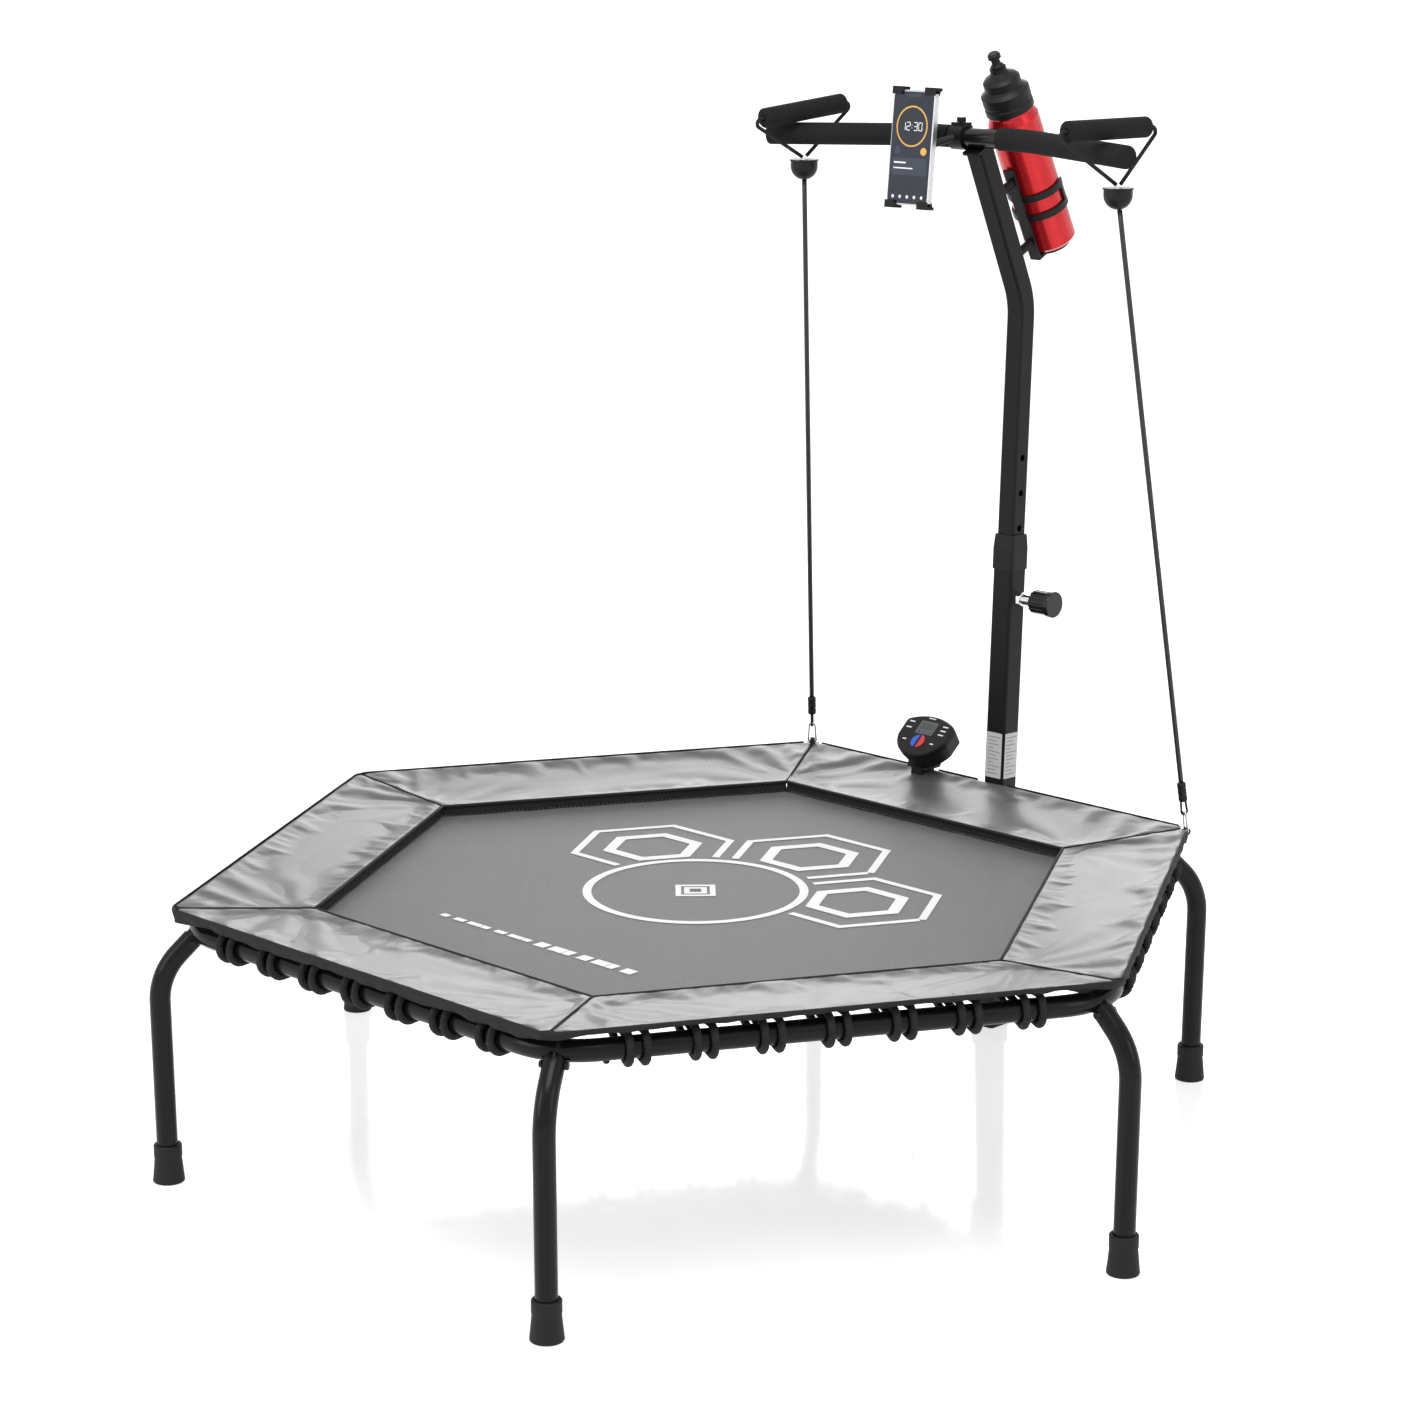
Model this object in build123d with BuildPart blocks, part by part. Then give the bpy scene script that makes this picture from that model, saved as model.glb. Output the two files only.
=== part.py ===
"""Hexagonal fitness trampoline with a handlebar mast, phone holder, bottle and resistance tubes.

Millimetres, +Z up, floor at Z = 0, origin under the centre of the jumping mat.
The user faces +Y, towards the mast, and +X is on the user's right.
"""

import os
from math import acos, atan2, cos, degrees, radians, sin, tan

from build123d import *

os.makedirs("parts", exist_ok=True)

# ---------------------------------------------------------------- driving sizes
CLEAR = 0.4  # gap kept between pieces that move past each other
TOUCH = 0.05  # gap kept between pieces that only rest together

# hexagonal frame: corner k stands at CORNERS[k], side k runs from corner k to the next
CORNERS = [240, 300, 0, 60, 120, 180]
MAST_SIDE = 3  # the side between the corners at 60 and 120 degrees
RAIL_APOTHEM = 545.7
RAIL_Z = 311.4
TUBE_R = 12.7
TUBE_WALL = 1.5
RAIL_BEND = 90
SEAM_ALONG = 177  # tube joint, from the middle of a side
SIDE_HALF = RAIL_APOTHEM * tan(radians(30))
CORNER_R = RAIL_APOTHEM / cos(radians(30)) - RAIL_BEND * (1 / cos(radians(30)) - 1)

# legs leave the corners at 45 degrees and bend to vertical
LEG_R = 667.5
LEG_SPREAD = 2.6  # how far a foot stands inside the knee
LEG_BEND = 80
LEG_START = 13.2
FOOT_TOP = 47
FOOT_FLOOR = 5
BOLT_AT = 18  # side bolt, measured down the leg from the rail axis

# mat, bungees and pad
MAT_APOTHEM = 440
MAT_TOP = 311
MAT_THICK = 1.2
WEBBING_WIDE = 30
WEBBING_THICK = 3
TAB_LONG = 8.6
TAB_WIDE = 24
BUNGEE_R = 4.5
BUNGEE_STEP = 75
BUNGEE_AT_RAIL = 9.5  # half the gap between the two cords of a pair
BUNGEE_AT_MAT = 5
BUNGEE_IN = 449
PAD_IN = 415
PAD_OUT = 563
PAD_CORNER = 642
PAD_TOP_OUT = 342
PAD_TOP_IN = 327
PAD_THICK = 6.5
SKIRT_THICK = 1.7
SKIRT_LOW = 324.5

# mast: a leaning lower post, and an upper post that bends towards the user
LEAN = 2.1
MAST_FOOT_Y = 568.4
LOWER_SIZE = 32
LOWER_TOP = 655
UPPER_SIZE = 27
UPPER_LOW = 490
BEND_Z = 988.2
LIMB_TILT = 24.66
POST_BEND = 100
POST_WALL = 1.5
PIN_S = 593
HOLE_PITCH = 47
HOLE_COUNT = 5
HOLE_R = 4.4
COLLAR_LOW = 631.5
COLLAR_TOP = 678.4
BRACKET_BOLTS = (268, 286)

# handlebar
BAR_Z = 1203.6
BAR_R = 12.5
BAR_STRAIGHT = 85
BAR_END_X = 292.6
BAR_END_NEAR = 70
BAR_END_DROP = 5
BAR_BEND = 180
GRIP_R = 14.5
GRIP_START = 41

# resistance tubes and their handles
HANDLE_LEN = 137
HANDLE_R = 13
HANDLE_BORE = 4.2
LOOP_R = 2.5
LOOP_OUT = 24  # how far a loop turns beyond the end of its grip
BALL_R = 18
BALL_RIM = 9
TUBE_CORD_R = 3.25
HOOK_WIRE_R = 1.3
SLEEVE_R = 5.7
SLEEVE_LEN = 26

# phone, counter and bottle
PHONE_SIZE = (70, 8, 145.5)
PHONE_LEAN = 5.4
CLAW_AT = 27
CLAW_WIDE = 16
BOTTLE_R = 34
BOTTLE_TILT = 27.2
COUNTER_LEAN = 50
BUTTON_R = 10.8
BUTTON_SPLIT = 1.5  # half the bar between the two keys


def direction(angle):
    """Unit vector in the floor plane."""
    return Vector(cos(radians(angle)), sin(radians(angle)), 0)


def upright(angle, shift=0.0):
    """Upright plane: local x points outward at angle, local y is up, shift moves it clockwise."""
    out = direction(angle)
    clockwise = Vector(out.Y, -out.X, 0)
    return Plane(origin=clockwise * shift, x_dir=out, z_dir=clockwise)


def beside(angle, along, height=0.0):
    """Floor-parallel frame on a side: local x points outward at angle, moved along the side."""
    out = direction(angle)
    return Location(out.rotate(Axis.Z, 90) * along + Vector(0, 0, height), (0, 0, angle))


def save(builder, name):
    """Labels a finished piece and writes it as its own STEP file."""
    builder.part.label = name
    export_step(builder.part, f"parts/{name}.step")


# frame of the mast: local z runs up the leaning post, local y is its back
lean = radians(LEAN)
tilt = radians(LIMB_TILT)
MAST = Plane(origin=(0, MAST_FOOT_Y, 0), x_dir=(1, 0, 0), z_dir=(0, sin(lean), cos(lean)))
MAST_SECTION = Plane(origin=MAST.origin, x_dir=MAST.y_dir, z_dir=(1, 0, 0))
BEND_S = BEND_Z / cos(lean)

# frame of the tilted limb, with its origin at the bend
BEND_POINT = Vector(0, MAST_FOOT_Y + BEND_Z * tan(lean), BEND_Z)
LIMB = Plane(origin=BEND_POINT, x_dir=(1, 0, 0), z_dir=(0, -sin(tilt), cos(tilt)))
LIMB_LEN = (BAR_Z - BEND_Z) / cos(tilt)
BAR_CENTRE = BEND_POINT + LIMB.z_dir * LIMB_LEN


def mast_point(s, back=0.0, x=0.0):
    """Point s up the lower mast axis, moved back from it and sideways."""
    return MAST.from_local_coords(Vector(x, back, s))


def bar_point(x):
    """Point on the polygon of the handlebar axis."""
    run = max(abs(x) - BAR_STRAIGHT, 0) / (BAR_END_X - BAR_STRAIGHT)
    return BAR_CENTRE + Vector(x, -BAR_END_NEAR * run, -BAR_END_DROP * run)


# ---------------------------------------------------------------- frame rails and legs
# one bent rail, made for a corner at angle 0: it plugs into the rail before it
before = direction(-30)
after = direction(30)
up = Vector(0, 0, RAIL_Z)
start = before * RAIL_APOTHEM + before.rotate(Axis.Z, 90) * SEAM_ALONG + up
corner = Vector(RAIL_APOTHEM / cos(radians(30)), 0, RAIL_Z)
end = after * RAIL_APOTHEM + after.rotate(Axis.Z, 90) * SEAM_ALONG + up
along = (corner - start).normalized()
stub_dir = Vector(1, 0, -1).normalized()
stub_root = Vector(CORNER_R, 0, RAIL_Z)
bolt_spot = stub_root + stub_dir * BOLT_AT
with BuildPart() as rail:
    with BuildLine():
        path = FilletPolyline(start, corner, end, radius=RAIL_BEND)
    with BuildSketch(Plane(start, z_dir=along)):
        Circle(TUBE_R)
        Circle(TUBE_R - TUBE_WALL, mode=Mode.SUBTRACT)
    sweep(path=path)
    with BuildSketch(Plane(start, z_dir=along)):
        Circle(TUBE_R - 0.2)
        Circle(TUBE_R - 3.2, mode=Mode.SUBTRACT)
    extrude(amount=4)
    with BuildSketch(Plane(start, z_dir=along)):
        Circle(TUBE_R - TUBE_WALL - 0.15)
        Circle(TUBE_R - 3.2, mode=Mode.SUBTRACT)
    extrude(amount=-55)
    with BuildSketch(Plane(stub_root + stub_dir * 7, z_dir=stub_dir)):
        Circle(TUBE_R - TUBE_WALL - 0.15)
        Circle(TUBE_R - 3.2, mode=Mode.SUBTRACT)
    extrude(amount=30)
    with BuildSketch(Plane(bolt_spot, z_dir=(0, 1, 0))):
        Circle(2.7)
    extrude(amount=15, both=True, mode=Mode.SUBTRACT)

for k, angle in enumerate(CORNERS):
    with BuildPart() as frame_rail:
        with Locations(Location((0, 0, 0), (0, 0, angle))):
            add(rail.part)
    save(frame_rail, f"frame_rail_{k + 1}")

# one leg tube: it slips over the stub at 45 degrees, then bends to vertical
leg_top = stub_root + stub_dir * LEG_START
knee = Vector(LEG_R, 0, RAIL_Z - (LEG_R - CORNER_R))
toe = Vector(LEG_R - LEG_SPREAD, 0, FOOT_FLOOR + 0.4)
with BuildPart() as leg_tube:
    with BuildLine():
        path = FilletPolyline(leg_top, knee, toe, radius=LEG_BEND)
    with BuildSketch(Plane(leg_top, z_dir=stub_dir)):
        Circle(TUBE_R)
        Circle(TUBE_R - TUBE_WALL, mode=Mode.SUBTRACT)
    sweep(path=path)
    with BuildSketch(Plane(bolt_spot, z_dir=(0, 1, 0))):
        Circle(2.7)
    extrude(amount=15, both=True, mode=Mode.SUBTRACT)

for k, angle in enumerate(CORNERS):
    with BuildPart() as leg:
        with Locations(Location((0, 0, 0), (0, 0, angle))):
            add(leg_tube.part)
    save(leg, f"leg_{k + 1}")

# rubber ferrules, flared towards the floor, with a rolled top edge
FOOT_R = LEG_R - LEG_SPREAD
with BuildPart() as foot:
    with BuildSketch(Plane.XZ):
        with BuildLine():
            Polyline(
                (0, 0),
                (18.5, 0),
                (19.3, 1.2),
                (16.4, 30),
                (17, 32),
                (17, FOOT_TOP - 1.5),
                (15.8, FOOT_TOP),
                (13.2, FOOT_TOP),
                (13.0, FOOT_FLOOR),
                (0, FOOT_FLOOR),
                close=True,
            )
        make_face()
    revolve(axis=Axis.Z)

with BuildPart() as feet:
    with Locations(*[Location(direction(angle) * FOOT_R) for angle in CORNERS]):
        add(foot.part)
save(feet, "feet")

# screws: one through each leg, one nub under each rail, and the two bracket bolts
BOLT_OUT = CORNER_R + BOLT_AT * cos(radians(45))
BOLT_Z = RAIL_Z - BOLT_AT * sin(radians(45))
with BuildPart() as frame_screws:
    for angle in CORNERS:
        with BuildSketch(upright(angle, -16)):
            with Locations((BOLT_OUT, BOLT_Z)):
                Circle(2.5)
        extrude(amount=32)
        with BuildSketch(upright(angle, TUBE_R + TOUCH)):
            with Locations((BOLT_OUT, BOLT_Z)):
                Circle(5)
        extrude(amount=3.4, taper=22)
        with BuildSketch(upright(angle, -TUBE_R - TOUCH)):
            with Locations((BOLT_OUT, BOLT_Z)):
                RegularPolygon(4.6, 6)
        extrude(amount=-4)
        side = direction(angle + 30)
        nub = side * RAIL_APOTHEM - side.rotate(Axis.Z, 90) * (SIDE_HALF - 58)
        with BuildSketch(Plane(nub + Vector(0, 0, RAIL_Z - TUBE_R - TOUCH))):
            Circle(4)
        extrude(amount=-3, taper=15)
    for s in BRACKET_BOLTS:
        with BuildSketch(Plane(MAST.from_local_coords(Vector(0, -28, s)), z_dir=MAST.y_dir)):
            RegularPolygon(6.5, 6)
        extrude(amount=28 - 21.3 - TOUCH)
        with BuildSketch(Plane(MAST.from_local_coords(Vector(0, -24, s)), z_dir=MAST.y_dir)):
            Circle(3.9)
        extrude(amount=48)
        with BuildSketch(Plane(MAST.from_local_coords(Vector(0, 16 + TOUCH, s)), z_dir=MAST.y_dir)):
            RegularPolygon(6.5, 6)
        extrude(amount=6.5)
save(frame_screws, "frame_screws")

# ---------------------------------------------------------------- mat and bungees
with BuildPart() as jump_mat:
    with BuildSketch(Plane.XY.offset(MAT_TOP)):
        RegularPolygon(MAT_APOTHEM, 6, major_radius=False)
    extrude(amount=-MAT_THICK)
save(jump_mat, "jump_mat")

with BuildPart() as mat_webbing:
    with BuildSketch(Plane.XY.offset(MAT_TOP - MAT_THICK - TOUCH)):
        RegularPolygon(MAT_APOTHEM, 6, major_radius=False)
        RegularPolygon(MAT_APOTHEM - WEBBING_WIDE, 6, major_radius=False, mode=Mode.SUBTRACT)
        for k in range(6):
            for step in range(-3, 4):
                if k == MAST_SIDE and step == 0:
                    continue
                spot = beside(CORNERS[k] + 30, step * BUNGEE_STEP)
                with Locations(spot * Location((MAT_APOTHEM + TAB_LONG / 2 - 3, 0))):
                    Rectangle(TAB_LONG + 6, TAB_WIDE)
    extrude(amount=-WEBBING_THICK)
save(mat_webbing, "mat_webbing")

# one bungee: two cords that wrap the rail and close in on each other towards the mat
WRAP_R = TUBE_R + BUNGEE_R + TOUCH
reach = BUNGEE_IN - RAIL_APOTHEM
swing = degrees(atan2(BUNGEE_AT_RAIL - BUNGEE_AT_MAT, -reach))
high = Vector(reach, 1.6)
low = Vector(reach, -7.8)
with BuildPart() as bungee:
    for hand in (-1, 1):
        turn = Plane(
            origin=(RAIL_APOTHEM, hand * BUNGEE_AT_RAIL, RAIL_Z),
            x_dir=direction(hand * swing),
            z_dir=direction(hand * swing - 90),
        )
        top = degrees(atan2(high.Y, high.X)) - degrees(acos(WRAP_R / high.length))
        bottom = degrees(atan2(low.Y, low.X)) + degrees(acos(WRAP_R / low.length))
        wrap_in = turn.from_local_coords(direction(top) * WRAP_R)
        wrap_mid = turn.from_local_coords(Vector(WRAP_R, 0, 0))
        wrap_out = turn.from_local_coords(direction(bottom) * WRAP_R)
        with BuildLine() as route:
            Line(turn.from_local_coords(high), wrap_in)
            ThreePointArc(wrap_in, wrap_mid, wrap_out)
            Line(wrap_out, turn.from_local_coords(low))
        with BuildSketch(Plane(route.line @ 0, z_dir=route.line % 0)):
            Circle(BUNGEE_R)
        sweep(path=route.line)

places = []
for k in range(6):
    for step in range(-3, 4):
        if k != MAST_SIDE or step != 0:
            places.append(beside(CORNERS[k] + 30, step * BUNGEE_STEP))
with BuildPart() as bungees:
    with Locations(*places):
        add(bungee.part)
save(bungees, "bungees")

# ---------------------------------------------------------------- padded cover
NOTCH_STRAP = 13  # half width of the notches for the hook straps
NOTCH_POST = 24
COUNTER_X = -112
NOTCH_COUNTER = 14
slope = (PAD_TOP_OUT - PAD_TOP_IN) / (PAD_OUT - PAD_IN)
with BuildPart() as panel:
    with BuildSketch(upright(0)):
        Polygon(
            (PAD_IN, PAD_TOP_IN - PAD_THICK),
            (PAD_OUT, PAD_TOP_OUT - PAD_THICK),
            (PAD_OUT, PAD_TOP_OUT),
            (PAD_IN, PAD_TOP_IN),
            align=None,
        )
    extrude(amount=SIDE_HALF + 15, both=True)
    mitre_x = PAD_CORNER * cos(radians(30))
    mitre_y = PAD_CORNER * sin(radians(30)) - 0.4
    out_y = (PAD_CORNER - PAD_OUT * cos(radians(30))) / sin(radians(30))
    in_y = (PAD_IN - 20) * tan(radians(30)) - 0.4
    with BuildSketch(Plane.XY.offset(PAD_TOP_IN - 20)):
        Polygon(
            (PAD_IN - 20, -in_y),
            (mitre_x, -mitre_y),
            (PAD_OUT, -out_y),
            (PAD_OUT, out_y),
            (mitre_x, mitre_y),
            (PAD_IN - 20, in_y),
            align=None,
        )
    extrude(amount=60, mode=Mode.INTERSECT)

with BuildPart() as pad_panels:
    with Locations(*[Location((0, 0, 0), (0, 0, angle + 30)) for angle in CORNERS]):
        add(panel.part)
    with BuildSketch(Plane.XY.offset(PAD_TOP_IN - 20)):
        for angle in (60, 120):
            with Locations(Location((0, 0, 0), (0, 0, angle)) * Location((PAD_CORNER, 0))):
                Rectangle(44, 2 * NOTCH_STRAP)
        with Locations((0, PAD_OUT)):
            Rectangle(2 * NOTCH_POST, 34)
        with Locations((COUNTER_X, PAD_OUT)):
            Rectangle(2 * NOTCH_COUNTER, 64)
    extrude(amount=60, mode=Mode.SUBTRACT)
save(pad_panels, "pad_panels")

with BuildPart() as pad_skirt:
    with BuildSketch(Plane.XY.offset(SKIRT_LOW)):
        RegularPolygon(PAD_OUT + 0.2 + SKIRT_THICK, 6, major_radius=False)
        RegularPolygon(PAD_CORNER + 0.2 + SKIRT_THICK, 6, major_radius=False, rotation=30, mode=Mode.INTERSECT)
    extrude(amount=PAD_TOP_OUT - SKIRT_LOW)
    with BuildSketch(Plane.XY.offset(SKIRT_LOW)):
        RegularPolygon(PAD_OUT + 0.2, 6, major_radius=False)
        RegularPolygon(PAD_CORNER + 0.2, 6, major_radius=False, rotation=30, mode=Mode.INTERSECT)
    extrude(amount=PAD_TOP_OUT - SKIRT_LOW, mode=Mode.SUBTRACT)
    with BuildSketch(Plane.XY.offset(SKIRT_LOW)):
        for angle in (60, 120):
            with Locations(Location((0, 0, 0), (0, 0, angle)) * Location((PAD_CORNER, 0))):
                Rectangle(44, 2 * NOTCH_STRAP)
        with Locations((0, PAD_OUT)):
            Rectangle(2 * NOTCH_POST, 34)
        with Locations((COUNTER_X, PAD_OUT)):
            Rectangle(2 * NOTCH_COUNTER, 64)
    extrude(amount=30, mode=Mode.SUBTRACT)
save(pad_skirt, "pad_skirt")

# ---------------------------------------------------------------- straps and snap hooks for the tubes
# each strap saddles the rail at a corner and ends in an eye above its outer side
STRAP_WIDE = 20
STRAP_IN = TUBE_R + 0.7
EYE = {60: Vector(649, 336), 120: Vector(641, 344)}
with BuildPart() as hook_straps:
    for angle, eye in EYE.items():
        root = Vector(CORNER_R, RAIL_Z)
        lean_out = (eye - root).normalized()
        with BuildSketch(upright(angle)):
            with Locations(root):
                Circle(STRAP_IN + 2)
            with Locations((CORNER_R, RAIL_Z - 22), (CORNER_R + 30, RAIL_Z - 15)):
                Rectangle(60, 40, mode=Mode.SUBTRACT)
            with Locations(Location(root + lean_out * 25, degrees(atan2(lean_out.Y, lean_out.X)))):
                Rectangle(24, 5)
            with Locations(eye):
                Circle(5)
                Circle(3, mode=Mode.SUBTRACT)
            with Locations(root):
                Circle(STRAP_IN, mode=Mode.SUBTRACT)
        extrude(amount=STRAP_WIDE / 2, both=True)
        with BuildSketch(upright(angle)):
            with Locations(eye):
                Rectangle(16, 16)
        extrude(amount=STRAP_WIDE, both=True, mode=Mode.SUBTRACT)
        with BuildSketch(upright(angle)):
            with Locations(eye):
                Circle(5)
                Circle(3, mode=Mode.SUBTRACT)
            with Locations(Location(root + lean_out * 25, degrees(atan2(lean_out.Y, lean_out.X)))):
                Rectangle(24, 5)
            with Locations(eye):
                Circle(3, mode=Mode.SUBTRACT)
            with Locations(root):
                Circle(STRAP_IN, mode=Mode.SUBTRACT)
        extrude(amount=2.5, both=True)
save(hook_straps, "hook_straps")

# ends of the resistance tubes
BALL = {60: Vector(264, 460, 1150), 120: Vector(-257, 461, 1156)}
HOOK_LOW = {}
HOOK_PLANE = {}
for angle, eye in EYE.items():
    HOOK_LOW[angle] = upright(angle).from_local_coords(Vector(eye.X, eye.Y - 1.5, 0))
    rise = (BALL[angle] - HOOK_LOW[angle]).normalized()
    clockwise = upright(angle).z_dir
    normal = clockwise.cross(rise).normalized()
    HOOK_PLANE[angle] = Plane(origin=HOOK_LOW[angle], x_dir=rise.cross(normal), z_dir=normal)

HOOK_TALL = 28
with BuildPart() as snap_hooks:
    for plane in HOOK_PLANE.values():
        wire = [(-5.6, 8), (-5.6, 0), (5.6, 0), (4, HOOK_TALL), (-4, HOOK_TALL), (-4.2, HOOK_TALL - 5)]
        with BuildLine():
            path = FilletPolyline(
                *[plane.from_local_coords(Vector(*point)) for point in wire],
                radius=3.4,
            )
        with BuildSketch(Plane(path @ 0, z_dir=path % 0)):
            Circle(HOOK_WIRE_R)
        sweep(path=path)
save(snap_hooks, "snap_hooks")

for angle, name in ((120, "left_gate"), (60, "right_gate")):
    low_end = HOOK_PLANE[angle].from_local_coords(Vector(-5.55, 8.5, 0))
    high_end = HOOK_PLANE[angle].from_local_coords(Vector(-4.25, HOOK_TALL - 5.6, 0))
    with BuildPart() as gate:
        with BuildSketch(Plane(low_end, z_dir=high_end - low_end)):
            Circle(1.1)
        extrude(amount=(high_end - low_end).length)
    save(gate, name)

# each tube ends in a sleeve and a cord loop that hangs in the top of the hook
for angle, name in ((120, "left_tube"), (60, "right_tube")):
    plane = HOOK_PLANE[angle]
    length = (BALL[angle] - HOOK_LOW[angle]).length
    loop_low = HOOK_TALL - HOOK_WIRE_R - 1.6 - CLEAR
    with BuildPart() as tube:
        with BuildSketch(Plane(plane.origin + plane.y_dir * 46, z_dir=plane.y_dir)):
            Circle(TUBE_CORD_R)
        extrude(amount=length - 46 - BALL_R - TOUCH)
        with BuildSketch(Plane(plane.origin + plane.y_dir * 42, z_dir=plane.y_dir)):
            Circle(SLEEVE_R)
        extrude(amount=SLEEVE_LEN)
        fillet(tube.edges().filter_by(GeomType.CIRCLE).sort_by(lambda edge: -edge.radius)[:2], 1)
        sides = [(46, 4), (loop_low, 4), (loop_low, -4), (46, -4)]
        with BuildLine():
            path = FilletPolyline(
                *[plane.from_local_coords(Vector(0, along, side)) for along, side in sides],
                radius=3.6,
            )
        with BuildSketch(Plane(path @ 0, z_dir=path % 0)):
            Circle(1.6)
        sweep(path=path)
    save(tube, name)

# ---------------------------------------------------------------- mast
with BuildPart() as lower_post:
    with BuildSketch(MAST.offset(5.6)):
        RectangleRounded(LOWER_SIZE, LOWER_SIZE, 4)
        RectangleRounded(LOWER_SIZE - 2 * POST_WALL, LOWER_SIZE - 2 * POST_WALL, 2.5, mode=Mode.SUBTRACT)
    extrude(amount=LOWER_TOP - 5.6)
    with BuildSketch(Plane(mast_point(PIN_S), z_dir=(1, 0, 0))):
        Circle(4.8)
    extrude(amount=LOWER_SIZE, mode=Mode.SUBTRACT)
    for s in BRACKET_BOLTS:
        with BuildSketch(Plane(mast_point(s), z_dir=MAST.y_dir)):
            Circle(4.1)
        extrude(amount=LOWER_SIZE, both=True, mode=Mode.SUBTRACT)
save(lower_post, "lower_post")

with BuildPart() as post_foot_cap:
    with BuildSketch(MAST.offset(-3)):
        RectangleRounded(38, 38, 5)
    extrude(amount=31)
    with BuildSketch(Plane.XY):
        with Locations((0, MAST_FOOT_Y)):
            RectangleRounded(43, 43, 6)
    extrude(amount=4)
    with BuildSketch(MAST.offset(5)):
        RectangleRounded(LOWER_SIZE + 2 * TOUCH, LOWER_SIZE + 2 * TOUCH, 4)
    extrude(amount=40, mode=Mode.SUBTRACT)
    split(bisect_by=Plane.XY, keep=Keep.TOP)
save(post_foot_cap, "post_foot_cap")

# bracket on the rail: a plate between rail and post, with a cheek on each side of the post
RAIL_FACE = MAST.to_local_coords(Vector(0, RAIL_APOTHEM, RAIL_Z)).Y + TUBE_R
POST_FACE = -LOWER_SIZE / 2 - TOUCH
with BuildPart() as post_bracket:
    with BuildSketch(MAST_SECTION):
        Polygon(
            (RAIL_FACE + TOUCH, 321),
            (POST_FACE, 321),
            (POST_FACE, 257),
            (RAIL_FACE + TOUCH, 257),
            align=None,
        )
    extrude(amount=20, both=True)
    for hand in (-1, 1):
        with BuildSketch(MAST_SECTION.offset(hand * (LOWER_SIZE / 2 + TOUCH))):
            Polygon((POST_FACE - 1, 321), (2, 321), (2, 285), (POST_FACE - 1, 257), align=None)
        extrude(amount=hand * 3.9)
    for s in BRACKET_BOLTS:
        with BuildSketch(Plane(mast_point(s), z_dir=MAST.y_dir)):
            Circle(4.1)
        extrude(amount=-LOWER_SIZE, mode=Mode.SUBTRACT)
save(post_bracket, "post_bracket")

with BuildPart() as post_collar:
    with BuildSketch(MAST.offset(COLLAR_LOW)):
        RectangleRounded(35.4, 35.4, 5)
    extrude(amount=28)
    with BuildSketch(MAST.offset(COLLAR_LOW + 28)):
        RectangleRounded(35.4, 35.4, 5)
    with BuildSketch(MAST.offset(COLLAR_TOP)):
        RectangleRounded(32, 32, 4)
    loft()
    with BuildSketch(MAST.offset(COLLAR_LOW)):
        RectangleRounded(LOWER_SIZE + 2 * TOUCH, LOWER_SIZE + 2 * TOUCH, 4)
    extrude(amount=LOWER_TOP - COLLAR_LOW + TOUCH, mode=Mode.SUBTRACT)
    with BuildSketch(MAST.offset(COLLAR_LOW)):
        RectangleRounded(UPPER_SIZE + 2 * CLEAR, UPPER_SIZE + 2 * CLEAR, 3.5)
    extrude(amount=60, mode=Mode.SUBTRACT)
save(post_collar, "post_collar")

# upper post: a square tube swept up the mast axis, round the bend and along the limb
BAR_SEAT = LIMB_LEN - BAR_R
path_points = [mast_point(UPPER_LOW), BEND_POINT, BEND_POINT + LIMB.z_dir * (BAR_SEAT - 3)]
with BuildPart() as upper_post:
    with BuildLine():
        path = FilletPolyline(*path_points, radius=POST_BEND)
    with BuildSketch(MAST.offset(UPPER_LOW)):
        RectangleRounded(UPPER_SIZE, UPPER_SIZE, 3.5)
        RectangleRounded(UPPER_SIZE - 2 * POST_WALL, UPPER_SIZE - 2 * POST_WALL, 2, mode=Mode.SUBTRACT)
    sweep(path=path)
    with BuildSketch(LIMB.offset(BAR_SEAT - 3.2)):
        RectangleRounded(UPPER_SIZE, 40, 3)
    extrude(amount=3.1)
    for k in range(HOLE_COUNT):
        with BuildSketch(Plane(mast_point(PIN_S + k * HOLE_PITCH), z_dir=(1, 0, 0))):
            Circle(HOLE_R)
        extrude(amount=UPPER_SIZE, mode=Mode.SUBTRACT)
save(upper_post, "upper_post")

# lock pin: a threaded bush on the post, a pin, and the knob that pulls it
with BuildPart() as lock_bush:
    with BuildSketch(Plane(mast_point(PIN_S, 0, LOWER_SIZE / 2 + TOUCH), z_dir=(1, 0, 0))):
        RegularPolygon(10, 6)
    extrude(amount=9)
    with BuildSketch(Plane(mast_point(PIN_S, 0, LOWER_SIZE / 2 + 9), z_dir=(1, 0, 0))):
        Circle(7)
    extrude(amount=20)
    with BuildSketch(Plane(mast_point(PIN_S), z_dir=(1, 0, 0))):
        Circle(4 + CLEAR)
    extrude(amount=60, mode=Mode.SUBTRACT)
save(lock_bush, "lock_bush")

PIN_TIP = UPPER_SIZE / 2 + CLEAR
KNOB_IN = LOWER_SIZE / 2 + 29 + 0.6
KNOB_OUT = 79
with BuildPart() as lock_pin:
    with BuildSketch(Plane(mast_point(PIN_S, 0, PIN_TIP), z_dir=(1, 0, 0))):
        Circle(4)
    extrude(amount=60 - PIN_TIP)
save(lock_pin, "lock_pin")

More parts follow.
